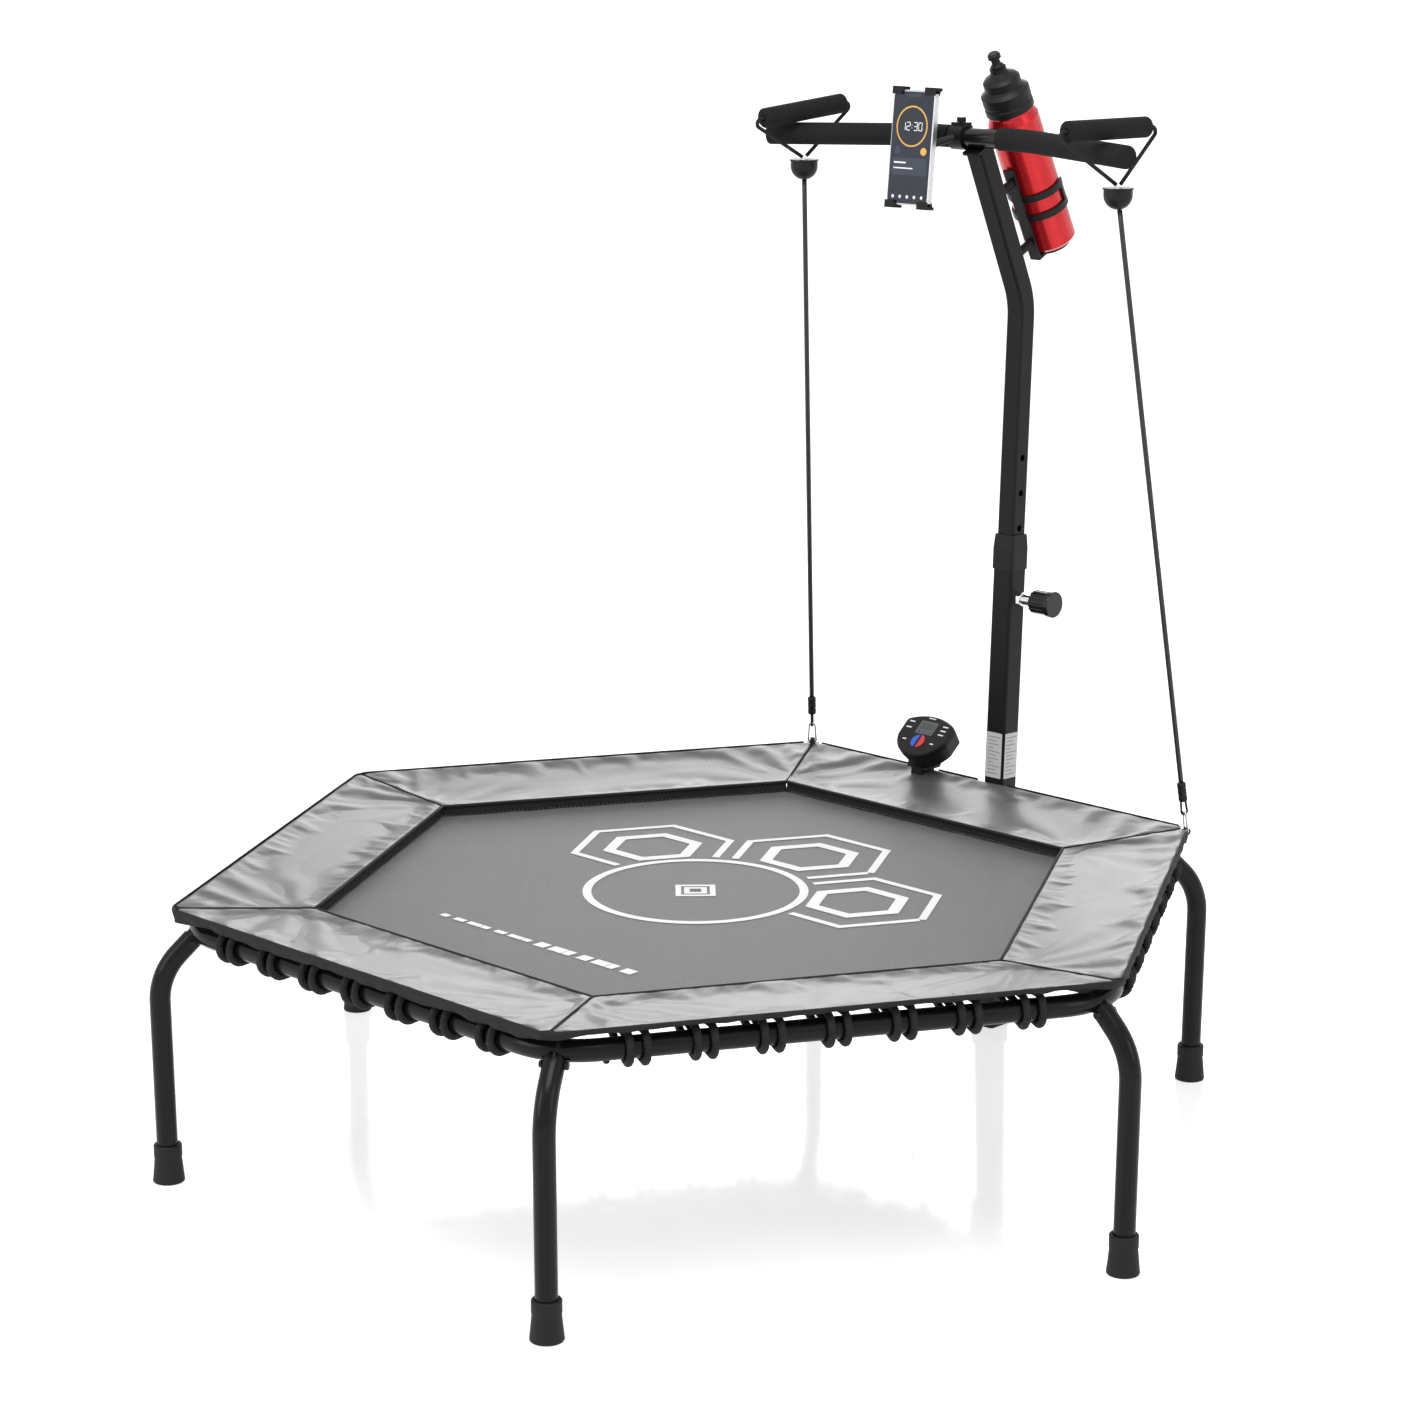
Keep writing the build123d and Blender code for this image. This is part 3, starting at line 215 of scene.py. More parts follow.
# ---------------------------------------------------------------- mesh helpers
def mesh_piece(name, verts, faces, look, body=None, slot=None, smooth=True):
    """A mesh object with one material, riding on a body."""
    mesh = bpy.data.meshes.new(name)
    mesh.from_pydata([tuple(v) for v in verts], [], faces)
    mesh.materials.append(look)
    mesh.validate()
    if smooth:
        mesh.shade_smooth()
    piece = bpy.data.objects.new(name, mesh)
    bpy.context.scene.collection.objects.link(piece)
    if body:
        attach(piece, body)
    return piece


def tube_mesh(path, radius, sides=10, closed=False, sizes=None):
    """Verts and faces of a round tube along a path of points; sizes scales the radius point by point."""
    verts = []
    faces = []
    count = len(path)
    lift = Vector((0.13, 0.21, 0.97)).normalized()
    for i, point in enumerate(path):
        after = path[(i + 1) % count] if closed or i < count - 1 else path[i]
        before = path[i - 1] if closed or i > 0 else path[i]
        run = (after - before).normalized()
        across = run.cross(lift).normalized()
        upward = across.cross(run).normalized()
        size = radius * (sizes[i] if sizes else 1)
        for j in range(sides):
            turn = 2 * pi * j / sides
            verts.append(point + across * cos(turn) * size + upward * sin(turn) * size)
    rings = count if closed else count - 1
    for i in range(rings):
        for j in range(sides):
            a = i * sides + j
            b = i * sides + (j + 1) % sides
            c = ((i + 1) % count) * sides + (j + 1) % sides
            d = ((i + 1) % count) * sides + j
            faces.append((a, b, c, d))
    if not closed:
        faces.append(tuple(reversed(range(sides))))
        faces.append(tuple(range((count - 1) * sides, count * sides)))
    return verts, faces


def join_parts(parts):
    """Several (verts, faces) lists as one."""
    verts = []
    faces = []
    for more_verts, more_faces in parts:
        base = len(verts)
        verts.extend(more_verts)
        faces.extend([tuple(base + i for i in face) for face in more_faces])
    return verts, faces


def box_mesh(centre, half, axes):
    """A small box with the given centre, half sizes and axis directions."""
    verts = []
    for z in (-1, 1):
        for x, y in ((-1, -1), (1, -1), (1, 1), (-1, 1)):
            offset = axes[0] * half[0] * x + axes[1] * half[1] * y + axes[2] * half[2] * z
            verts.append(centre + offset)
    faces = [(3, 2, 1, 0), (4, 5, 6, 7), (0, 1, 5, 4), (1, 2, 6, 5), (2, 3, 7, 6), (3, 0, 4, 7)]
    return verts, faces


# ---------------------------------------------------------------- pads by cloth simulation
PAD_COLS = 84
PAD_ROWS = 22
PAD_THICK = 6 * MM
PAD_CROWN = 1.5 * MM
MITRE_GAP = 0.8 * MM
CLOTH_STEPS = 18
CLOTH_MOVE = 7 * MM  # the furthest that the simulation may carry a point


def pad_height(v):
    """Height of the pad's flat top from its inner edge, v 0, to its outer edge, v 1."""
    return PAD_TOP_IN + (PAD_TOP_OUT - PAD_TOP_IN) * v


def trimmed_half(out):
    """Half the length that the trimmed corners leave of a side at this distance from the centre."""
    return (PAD_CORNER - out * cos(MITRE)) / sin(MITRE)


def pad_outline(k, u, v):
    """Plan point of the pad: u runs along the side from mitre to mitre, v from the inner edge out."""
    out = PAD_IN + (PAD_OUT - PAD_IN) * v
    half = min(out * tan(MITRE) - MITRE_GAP, trimmed_half(out))
    return side_point(k, out, (2 * u - 1) * half, pad_height(v))


def pad_panel(k):
    """Verts and faces of one closed panel, and the numbers of the verts that the simulation holds."""
    verts = []
    faces = []
    held = []
    for layer in (0, 1):
        for i in range(PAD_COLS + 1):
            for j in range(PAD_ROWS + 1):
                u = i / PAD_COLS
                v = j / PAD_ROWS
                point = pad_outline(k, u, v)
                rim = min(u * 9, (1 - u) * 9, v * 4, (1 - v) * 4, 1)
                crown = 1 - (1 - rim) ** 2
                point.z += crown * PAD_CROWN if layer == 0 else -(1 + crown) * PAD_THICK / 2
                if layer == 1 or i in (0, PAD_COLS) or j in (0, PAD_ROWS):
                    held.append(len(verts))
                verts.append(point)
    row = PAD_ROWS + 1
    layer_size = (PAD_COLS + 1) * row
    for i in range(PAD_COLS):
        for j in range(PAD_ROWS):
            a = i * row + j
            faces.append((a, a + row, a + row + 1, a + 1))
            b = a + layer_size
            faces.append((b, b + 1, b + row + 1, b + row))
    rim_line = [i * row for i in range(PAD_COLS)] + [PAD_COLS * row + j for j in range(PAD_ROWS)]
    rim_line += [i * row + PAD_ROWS for i in range(PAD_COLS, 0, -1)] + list(range(PAD_ROWS, 0, -1))
    for n, a in enumerate(rim_line):
        b = rim_line[(n + 1) % len(rim_line)]
        faces.append((b, a, a + layer_size, b + layer_size))
    return verts, faces, held


def wrinkle(point, k):
    """Height of the folds: a slow swell, creases fanning out from the inner corners, and fine pulls."""
    out = point.dot(direction(CORNERS[k] + 30)) - PAD_IN
    along = point.dot(direction(CORNERS[k] + 120))
    half = PAD_IN * tan(MITRE)
    height = 1.6 * noise.noise(Vector((along * 4, out * 8, k * 7.1)))
    for end in (-1, 1):
        reach = half - end * along
        distance = (reach * reach + out * out) ** 0.5
        turn = atan2(out + 0.004, reach + 0.03)
        phase = turn * 15 + 2.2 * noise.noise(Vector((distance * 9, turn * 2, k * 5.3 + end)))
        fade = exp(-((distance - 0.09) / 0.13) ** 2)
        height += 0.9 * sin(phase) * fade
    pull = noise.noise(Vector((along * 6 + out * 8, out * 42, k * 3.7)))
    height += 0.8 * pull * (0.4 + abs(noise.noise(Vector((along * 5, k * 2.3, 4)))) * 2)
    return height * MM


def simulate_cloth(piece, held):
    """Swell the covers as cloth under a little pressure, and keep the result in the mesh."""
    rest = [v.co.copy() for v in piece.data.vertices]
    group = piece.vertex_groups.new(name="held")
    group.add(held, 1.0, "REPLACE")
    cloth = piece.modifiers.new("cloth", "CLOTH")
    cloth.settings.quality = 5
    cloth.settings.mass = 0.2
    cloth.settings.tension_stiffness = 30
    cloth.settings.compression_stiffness = 30
    cloth.settings.shear_stiffness = 10
    cloth.settings.bending_stiffness = 0.05
    cloth.settings.vertex_group_mass = "held"
    cloth.settings.use_pressure = True
    cloth.settings.uniform_pressure_force = 1.2
    cloth.settings.shrink_min = -0.015
    cloth.settings.effector_weights.gravity = 0
    cloth.collision_settings.use_collision = False
    scene = bpy.context.scene
    for step in range(1, CLOTH_STEPS + 1):
        scene.frame_set(step)
    graph = bpy.context.evaluated_depsgraph_get()
    done = [v.co.copy() for v in piece.evaluated_get(graph).data.vertices]
    piece.modifiers.remove(cloth)
    scene.frame_set(1)
    for vert, start, end in zip(piece.data.vertices, rest, done):
        move = end - start
        if move.length > CLOTH_MOVE:
            move *= CLOTH_MOVE / move.length
        vert.co = start + move


def make_pads():
    """The six covered panels, wrinkled, and swelled as cloth."""
    verts = []
    faces = []
    held = []
    top_count = (PAD_COLS + 1) * (PAD_ROWS + 1)
    for k in range(6):
        more_verts, more_faces, more_held = pad_panel(k)
        base = len(verts)
        for n, point in enumerate(more_verts[:top_count]):
            i, j = divmod(n, PAD_ROWS + 1)
            rim = min(i, PAD_COLS - i, j, PAD_ROWS - j)
            point.z += wrinkle(point, k) * min(rim / 2.5, 1)
        verts.extend(more_verts)
        faces.extend([tuple(base + i for i in face) for face in more_faces])
        held.extend([base + i for i in more_held])
    piece = mesh_piece("pad_covers", verts, faces, pad_cover)
    simulate_cloth(piece, held)
    smooth = piece.modifiers.new("smooth", "SUBSURF")
    smooth.levels = 1
    smooth.render_levels = 1
    return piece


pads = make_pads()
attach(pads, "frame")
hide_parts("pad_panels")

BINDING_R = 2.4 * MM
BINDING_DROP = 1.5 * MM  # how far the binding's middle is under the pad's inner edge
STRIP_IN = 0.8 * MM  # how far the strip's hem leans in over the mat
STRIP_FLUTTER = 1.2 * MM
STRIP_STEP = 3.6 * MM
SEAM_R = 0.6 * MM
INNER_STEPS = 24
INNER_ROWS = 3
SEAM_STEPS = 16


def inner_band(k):
    """The binding along one inner edge, and the strip that hangs from it towards the mat."""
    run = [pad_outline(k, i / INNER_STEPS, 0) - UP * BINDING_DROP for i in range(INNER_STEPS + 1)]
    outward = direction(CORNERS[k] + 30)
    band = []
    for point in run:
        flutter = noise.noise(point * 30) * STRIP_FLUTTER
        for j in range(INNER_ROWS + 1):
            band.append(point + outward * (flutter - STRIP_IN) * j / INNER_ROWS - UP * STRIP_STEP * j)
    row = INNER_ROWS + 1
    quads = []
    for i in range(INNER_STEPS):
        for j in range(INNER_ROWS):
            a = row * i + j
            quads.append((a, a + 1, a + row + 1, a + row))
    return [tube_mesh(run, BINDING_R, 8), (band, quads)]


def mitre_seam(k, u):
    """The stitched seam at one end of a side."""
    run = [pad_outline(k, u, j / SEAM_STEPS) + UP * 0.2 * MM for j in range(SEAM_STEPS + 1)]
    return tube_mesh(run, SEAM_R, 6)


bands = [part for k in range(6) for part in inner_band(k)]
seams = [mitre_seam(k, u) for k in range(6) for u in (0, 1)]
mesh_piece("pad_binding", *join_parts(bands + seams), binding, "frame", "pad_cover")

# the gathered skirt: how far it hangs on each side, in millimetres, least on the side nearest the camera
SKIRT_DROP = [14, 6.5, 13, 13, 14, 15]
SKIRT_EASE = 7  # steps at each end of a side where the drop eases into the next side's
SKIRT_ROWS = 6
SIDE_STEPS = 120
SKIRT_THICK = 1.2 * MM
SKIRT_TOP = PAD_TOP_OUT + 1 * MM
SKIRT_OUT = 1.5 * MM  # how far its top stands out from the pad, and then how it swells, gathers and waves
SKIRT_SWELL = 2.2 * MM
SKIRT_GATHER = 2.2 * MM
SKIRT_WAVE = 1.1 * MM
REAR_GAPS = [(0, 25 * MM), (-112 * MM, 15 * MM)]  # for the post and the counter: place and half width
STRAP_GAP = 14 * MM


def outer_line():
    """Points round the pad's outer edge, one run for each side between its trimmed corners."""
    half = trimmed_half(PAD_OUT)
    places = [(2 * i / SIDE_STEPS - 1) * half for i in range(SIDE_STEPS + 1)]
    return [side_point(k, PAD_OUT, along, 0) for k in range(6) for along in places]


def near_notch(point):
    """Whether a point of the outer edge is in a gap for the post, the counter or a tube strap."""
    for centre, half in REAR_GAPS:
        if abs(point.x - centre) < half and point.y > 0.5:
            return True
    return any((point - direction(angle) * PAD_CORNER).length < STRAP_GAP for angle in (60, 120))


def skirt_drop(n):
    """The skirt's drop in millimetres at a point of the outer line, eased near the corners."""
    k, i = divmod(n, SIDE_STEPS + 1)
    here = SKIRT_DROP[k]
    corner_before = (here + SKIRT_DROP[k - 1]) / 2
    corner_after = (here + SKIRT_DROP[(k + 1) % 6]) / 2
    if i < SKIRT_EASE:
        return corner_before + (here - corner_before) * i / SKIRT_EASE
    if i > SIDE_STEPS - SKIRT_EASE:
        return corner_after + (here - corner_after) * (SIDE_STEPS - i) / SKIRT_EASE
    return here


def skirt_point(n, point, drop):
    """Point of the skirt, drop from 0 at its top to 1 at its hem."""
    outward = Vector((point.x, point.y, 0)).normalized()
    gather = noise.noise(Vector((point.x * 55, point.y * 55, 0.3 + drop))) * SKIRT_GATHER * drop
    wave = sin(n * 0.9 + 3 * noise.noise(point * 9)) * SKIRT_WAVE * drop
    low = skirt_drop(n) * (1 + 0.25 * noise.noise(point * 26))
    height = SKIRT_TOP - drop * low * MM
    swell = SKIRT_OUT + sin(pi * min(drop * 1.3, 1)) * SKIRT_SWELL
    return point + outward * (swell + gather + wave) + UP * height


def make_skirt():
    """The skirt round the outer edge, open at its gaps."""
    line = outer_line()
    verts = []
    for n, point in enumerate(line):
        verts.extend([skirt_point(n, point, j / SKIRT_ROWS) for j in range(SKIRT_ROWS + 1)])
    faces = []
    for n in range(len(line)):
        after = (n + 1) % len(line)
        if near_notch((line[n] + line[after]) / 2):
            continue
        for j in range(SKIRT_ROWS):
            a = n * (SKIRT_ROWS + 1) + j
            b = after * (SKIRT_ROWS + 1) + j
            faces.append((a, a + 1, b + 1, b))
    skirt = mesh_piece("skirt_band", verts, faces, binding)
    thick = skirt.modifiers.new("thick", "SOLIDIFY")
    thick.thickness = SKIRT_THICK
    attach(skirt, "frame")
    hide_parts("pad_skirt")


make_skirt()

# ---------------------------------------------------------------- bungees
WRAP_R = TUBE_R + BUNGEE_R + 0.1 * MM
BUNGEE_IN = 447 * MM
BUNGEE_TOP_DROP = 2.4 * MM  # how far under the rail's axis the upper and lower runs meet the mat
BUNGEE_LOW_DROP = 6.5 * MM
HALF_GAP_RAIL = 9.5 * MM
HALF_GAP_MAT = 5 * MM
RUN_STEPS = 8
WRAP_STEPS = 12


def bungee_path(k, along, hand):
    """One cord: from the mat over the rail, round it, and back underneath to the mat."""
    points = []
    inner = BUNGEE_IN - RAIL_APOTHEM
    for i in range(RUN_STEPS + 1):
        t = i / RUN_STEPS
        rise = 1 - (1 - t) ** 1.6
        points.append((inner * (1 - t), -BUNGEE_TOP_DROP + (WRAP_R + BUNGEE_TOP_DROP) * rise))
    for i in range(1, WRAP_STEPS):
        turn = pi / 2 - pi * i / WRAP_STEPS
        points.append((WRAP_R * cos(turn), WRAP_R * sin(turn)))
    for i in range(RUN_STEPS + 1):
        t = i / RUN_STEPS
        points.append((inner * t, -WRAP_R + (WRAP_R - BUNGEE_LOW_DROP) * t ** 1.3))
    path = []
    for x, z in points:
        spread = HALF_GAP_RAIL + (HALF_GAP_MAT - HALF_GAP_RAIL) * min(max(x / inner, 0), 1)
        path.append(side_point(k, RAIL_APOTHEM + x, along + hand * spread, RAIL_Z + z))
    return path


def bungee_places(k):
    """Places along a side where a bungee pair is; the middle one is left out behind the post."""
    return [step * BUNGEE_STEP for step in range(-3, 4) if k != MAST_SIDE or step]


def make_bungees(k):
    """The cords of one side, which stretch between the frame and the mat."""
    paths = [bungee_path(k, along, hand) for along in bungee_places(k) for hand in (-1, 1)]
    parts = [tube_mesh(path, BUNGEE_R, 10) for path in paths]
    cords = mesh_piece(f"bungee_set_{k + 1}", *join_parts(parts), cord_mat)
    if k == 0:
        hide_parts("bungees")
    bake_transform(cords)


for k in range(6):
    make_bungees(k)

# the jumping mat: one sheet of woven cloth, drawn tight by the bungees and rippled near its edge
MAT_RINGS = 64
MAT_THIN = 0.9 * MM
MAT_CORNER = MAT_APOTHEM / cos(MITRE)
RIPPLE = 0.9 * MM
RIPPLE_WIDE = 75 * MM


def edge_ripple(point):
    """Height of the ripples that the pull of the bungees leaves near the edge."""
    angle = (atan2(point.y, point.x) * 180 / pi) % 360
    k = CORNERS.index(int(angle // 60) * 60)
    out = point.dot(direction(CORNERS[k] + 30))
    along = point.dot(direction(CORNERS[k] + 120))
    near = max(0.0, 1 - (MAT_APOTHEM - out) / RIPPLE_WIDE)
    return RIPPLE * near * near * (0.5 + 0.5 * cos(2 * pi * along / BUNGEE_STEP))


def mat_layer(drop):
    """Points of a hexagonal lattice, ring by ring, at one height under the ripples."""
    points = [Vector((0, 0, MAT_TOP - drop))]
    for ring in range(1, MAT_RINGS + 1):
        radius = MAT_CORNER * ring / MAT_RINGS
        for corner in range(6):
            start = direction(60 * corner) * radius
            end = direction(60 * corner + 60) * radius
            for i in range(ring):
                point = start.lerp(end, i / ring)
                point.z = MAT_TOP - drop + edge_ripple(point)
                points.append(point)
    return points


def lattice_number(ring, place):
    """Number of a lattice point from its ring and its place round that ring."""
    if ring == 0:
        return 0
    return 1 + 3 * ring * (ring - 1) + place % (6 * ring)


def lattice_faces():
    """Triangles between the rings of the lattice."""
    faces = []
    for ring in range(1, MAT_RINGS + 1):
        for corner in range(6):
            for i in range(ring):
                inner = lattice_number(ring - 1, corner * (ring - 1) + i)
                outer = lattice_number(ring, corner * ring + i)
                outer_after = lattice_number(ring, corner * ring + i + 1)
                faces.append((inner, outer, outer_after))
                if i < ring - 1:
                    faces.append((inner, outer_after, lattice_number(ring - 1, corner * (ring - 1) + i + 1)))
    return faces


def make_mat():
    """The mat as a closed thin sheet."""
    upper = mat_layer(0)
    top_faces = lattice_faces()
    count = len(upper)
    faces = top_faces + [tuple(count + i for i in reversed(face)) for face in top_faces]
    rim = 6 * MAT_RINGS
    first = count - rim
    for i in range(rim):
        a = first + i
        b = first + (i + 1) % rim
        faces.append((a, a + count, b + count, b))
    return mesh_piece("mat_sheet", upper + mat_layer(MAT_THIN), faces, mat_fabric, "mat", "mat_fabric")


mat_sheet = make_mat()
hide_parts("jump_mat")

# webbing loops that hold the bungees at the mat's edge, made of boxes that are given by half their sizes
LOOP_HALF = 12 * MM
LOOP_THIN = 0.9 * MM
# the leaves above and below the hem: height, place of the middle from the mat's edge, and half length
LEAVES = [(MAT_TOP + 1.9 * MM, 2.5 * MM, 13 * MM), (MAT_TOP - 9.5 * MM, 2 * MM, 12 * MM)]
END_OUT = 15 * MM
END_HIGH = MAT_TOP - 4.2 * MM
END_TALL = 6.2 * MM


def mat_loop(k, along):
    """One loop: a leaf above the hem, a leaf below it, and the end that joins them."""
    axes = (direction(CORNERS[k] + 30), direction(CORNERS[k] + 120), UP)
    made = []
    for height, out, half_long in LEAVES:
        centre = side_point(k, MAT_APOTHEM + out, along, height)
        made.append(box_mesh(centre, (half_long, LOOP_HALF, LOOP_THIN), axes))
    centre = side_point(k, MAT_APOTHEM + END_OUT, along, END_HIGH)
    made.append(box_mesh(centre, (LOOP_THIN, LOOP_HALF, END_TALL), axes))
    return made


loops = [part for k in range(6) for along in bungee_places(k) for part in mat_loop(k, along)]
mesh_piece("mat_loops", *join_parts(loops), webbing_mat, "mat", "webbing", smooth=False)

# ---------------------------------------------------------------- mat graphics
STITCH = MAT_TOP + 0.6 * MM


def ribbon(points, width, height, closed=True):
    """A flat band of constant width along a plan polyline."""
    verts = []
    faces = []
    count = len(points)
    for i, point in enumerate(points):
        before = points[i - 1] if closed or i else points[i]
        after = points[(i + 1) % count] if closed or i < count - 1 else points[i]
        into = (point - before).normalized() if point != before else (after - point).normalized()
        outof = (after - point).normalized() if after != point else into
        mid = (into + outof).normalized()
        side = Vector((-mid.y, mid.x, 0))
        stretch = 1 / max(mid.dot(into), 0.4)
        verts.append(point + side * width / 2 * stretch + UP * height)
        verts.append(point - side * width / 2 * stretch + UP * height)
    for i in range(count if closed else count - 1):
        a = 2 * i
        b = 2 * ((i + 1) % count)
        faces.append((a, a + 1, b + 1, b))
    return verts, faces


RING_R = 134 * MM
RING_AT = Vector((0, -8 * MM, 0))
RING_WIDE = 11 * MM
RING_GAP = 13 * MM  # from the ring's middle line to where a hexagon's outline may start
HEX_AT = 200 * MM
HEX_R = 104 * MM
HEX_WIDE = 10 * MM
HEX_INNER_R = 58 * MM
HEX_INNER_WIDE = 15 * MM
DIAMOND_WIDE = 7 * MM
DASH_LEFT = -150 * MM
DASH_Y = -292 * MM
DASH_STEP = 24 * MM
DASH_COUNT = 14
HEM_APOTHEM = 421 * MM
HEM_STITCHES = 88
STITCH_LONG = 3.4 * MM
STITCH_R = 0.7 * MM


def hexagon(centre, radius):
    """Corners of a hexagon with two corners on the X axis."""
    return [centre + direction(60 * i) * radius for i in range(6)]


def outside_ring(centre):
    """The stretches of a hexagon's outline that lie clear of the ring."""
    corners = hexagon(centre, HEX_R)
    stretches = [[]]
    for i in range(6):
        for t in range(30):
            point = corners[i].lerp(corners[(i + 1) % 6], t / 30)
            if (point - RING_AT).length > RING_R + RING_GAP:
                stretches[-1].append(point)
            elif stretches[-1]:
                stretches.append([])
    return [stretch for stretch in stretches if len(stretch) > 1]


def make_print():
    """A ring, three hexagons behind it, two diamonds in it, and a row of dashes."""
    ring = [direction(i * 3) * RING_R + RING_AT for i in range(120)]
    graphics = [ribbon(ring, RING_WIDE, STITCH)]
    for angle in (152, 90, 28):
        centre = direction(angle) * HEX_AT
        graphics += [ribbon(stretch, HEX_WIDE, STITCH, closed=False) for stretch in outside_ring(centre)]
        graphics.append(ribbon(hexagon(centre, HEX_INNER_R), HEX_INNER_WIDE, STITCH))
    for size in (30 * MM, 15 * MM):
        graphics.append(ribbon([direction(90 * i) * size + RING_AT for i in range(4)], DIAMOND_WIDE, STITCH))
    for i in range(DASH_COUNT):
        left = Vector((DASH_LEFT + i * DASH_STEP, DASH_Y, 0))
        dash = [left, left + RIGHT * (13 + 5 * (i % 3)) * MM]
        graphics.append(ribbon(dash, (15 if i > 6 else 9) * MM, STITCH, closed=False))
    mesh_piece("mat_print", *join_parts(graphics), print_white, "mat", "mat_fabric", smooth=False)


def make_stitches():
    """The row of stitches along the mat's hem."""
    half = HEM_APOTHEM * tan(MITRE)
    stitches = []
    for k in range(6):
        for i in range(HEM_STITCHES):
            start = -half + 2 * half * i / HEM_STITCHES
            run = [side_point(k, HEM_APOTHEM, start + t, MAT_TOP + 0.9 * MM) for t in (0, STITCH_LONG)]
            stitches.append(tube_mesh(run, STITCH_R, 5))
    mesh_piece("hem_stitches", *join_parts(stitches), stitch_white, "mat", "mat_fabric")


make_print()
make_stitches()


# ---------------------------------------------------------------- resistance tubes and lead
def spline_piece(name, points, radius, look):
    """A round cord on a smooth spline through its control points."""
    curve = bpy.data.curves.new(name, "CURVE")
    curve.dimensions = "3D"
    spline = curve.splines.new("NURBS")
    spline.points.add(len(points) - 1)
    for control, point in zip(spline.points, points):
        control.co = (*point, 1)
    spline.order_u = 3
    spline.use_endpoint_u = True
    spline.resolution_u = 16
    curve.bevel_depth = radius
    curve.bevel_resolution = 4
    curve.use_fill_caps = True
    curve.materials.append(look)
    piece = bpy.data.objects.new(name, curve)
    bpy.context.scene.collection.objects.link(piece)
    return piece


def unit(x, y, z):
    """Unit vector with the given parts."""
    return Vector((x, y, z)).normalized()


def smooth_line(points):
    """Points along the smooth spline that has these control points, and its length."""
    line = spline_piece("line", points, 0, tube_mat)
    path = [v.co.copy() for v in bpy.data.meshes.new_from_object(line).vertices]
    bpy.data.objects.remove(line)
    return path, sum((b - a).length for a, b in zip(path, path[1:]))


# each tube runs straight from the ball under its handle to the sleeve above its hook:
# the corner's angle, how far out and how high the hook's eye is, and the middle of the ball
TUBES = {
    "left": (120, 641 * MM, 344 * MM, Vector((-257, 461, 1156)) * MM),
    "right": (60, 649 * MM, 336 * MM, Vector((264, 460, 1150)) * MM),
}
TUBE_CORD_R = 3.25 * MM
EYE_DROP = 1.5 * MM  # from the eye's middle down to the point that the tube pulls on
BALL_REACH = 18.2 * MM  # from the ball's middle to the top of the tube
CORD_START = 60 * MM  # from the eye to the foot of the tube
SLEEVE_R = 5.7 * MM
SLEEVE_LOW = 42 * MM
# the sleeve's profile: millimetres above its foot, and the share of its radius there
SLEEVE = [
    (0, 0.55), (0.8, 0.85), (2, 1), (8, 1), (9, 0.86), (10, 1),
    (17, 1), (18, 0.86), (19, 1), (24.5, 1), (25.6, 0.85), (26, 0.62),
]
# the cord loop through the hook: its bend, how high its bend and its ends are, and half its width there
HOOK_LOOP_R = 3.9 * MM
HOOK_CORD_R = 1.5 * MM
HOOK_LOOP_LOW = 28.6 * MM
HOOK_LOOP_TOP = 43 * MM
HOOK_LOOP_HALF = 3.2 * MM


def make_tube(hand, angle, out, height, ball):
    """One resistance tube, the sleeve at its lower end, and the loop that holds its hook."""
    eye = direction(angle) * out + UP * (height - EYE_DROP)
    rise = (ball - eye).normalized()
    clockwise = Vector((sin(radians(angle)), -cos(radians(angle)), 0))
    normal = clockwise.cross(rise).normalized()
    top = ball - rise * BALL_REACH
    low = eye + rise * CORD_START
    path, length = smooth_line([top, (top + low) / 2, low])
    cord = mesh_piece(f"{hand}_tube_cord", *tube_mesh(path, TUBE_CORD_R, 14), tube_mat)
    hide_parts(f"{hand}_tube")
    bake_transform(cord)
    sleeve = [eye + rise * (SLEEVE_LOW + t * MM) for t, _ in SLEEVE]
    sleeve_mesh = tube_mesh(sleeve, SLEEVE_R, 20, sizes=[size for _, size in SLEEVE])
    mesh_piece(f"{hand}_sleeve", *sleeve_mesh, plastic, "frame", "plastic_black")
    bend = []
    for i in range(21):
        turn = pi * i / 20
        lift = HOOK_LOOP_LOW - HOOK_LOOP_R * sin(turn)
        bend.append(eye + rise * lift + normal * HOOK_LOOP_R * cos(turn))
    start, end = [eye + rise * HOOK_LOOP_TOP + normal * half for half in (HOOK_LOOP_HALF, -HOOK_LOOP_HALF)]
    loop_mesh = tube_mesh([start, *bend, end], HOOK_CORD_R, 10)
    mesh_piece(f"{hand}_hook_loop", *loop_mesh, cord_mat, "frame", "webbing")


for hand, places in TUBES.items():
    make_tube(hand, *places)

# the counter's lead: down from the rail to a connector, and from there round to the sensor
lead_out = Vector((-112, 545.7, 294.9)) * MM
lead_left = Vector((-118, 546.7, 176)) * MM
lead_right = Vector((-86, 546.7, 176)) * MM
lead_back = Vector((-96.5, 545.7, 283.5)) * MM
lead_down = (lead_left - lead_out).normalized()
plug_top = lead_out + lead_down * 48 * MM
plug_low = plug_top + lead_down * 42 * MM
LEAD_R = 1.0 * MM


def make_wire(name, points, node):
    """One stretch of the lead, which replaces a CAD node."""
    wire = spline_piece(name, points, LEAD_R, tube_mat)
    length = smooth_line(points)[1]
    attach(wire, "frame")
    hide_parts(node)


counter_route = [lead_out, (lead_out + plug_top) / 2, plug_top]
sensor_route = [plug_low, lead_left, lead_right, lead_back]
make_wire("counter_wire", counter_route, "counter_lead")
make_wire("sensor_wire", sensor_route, "sensor_lead")


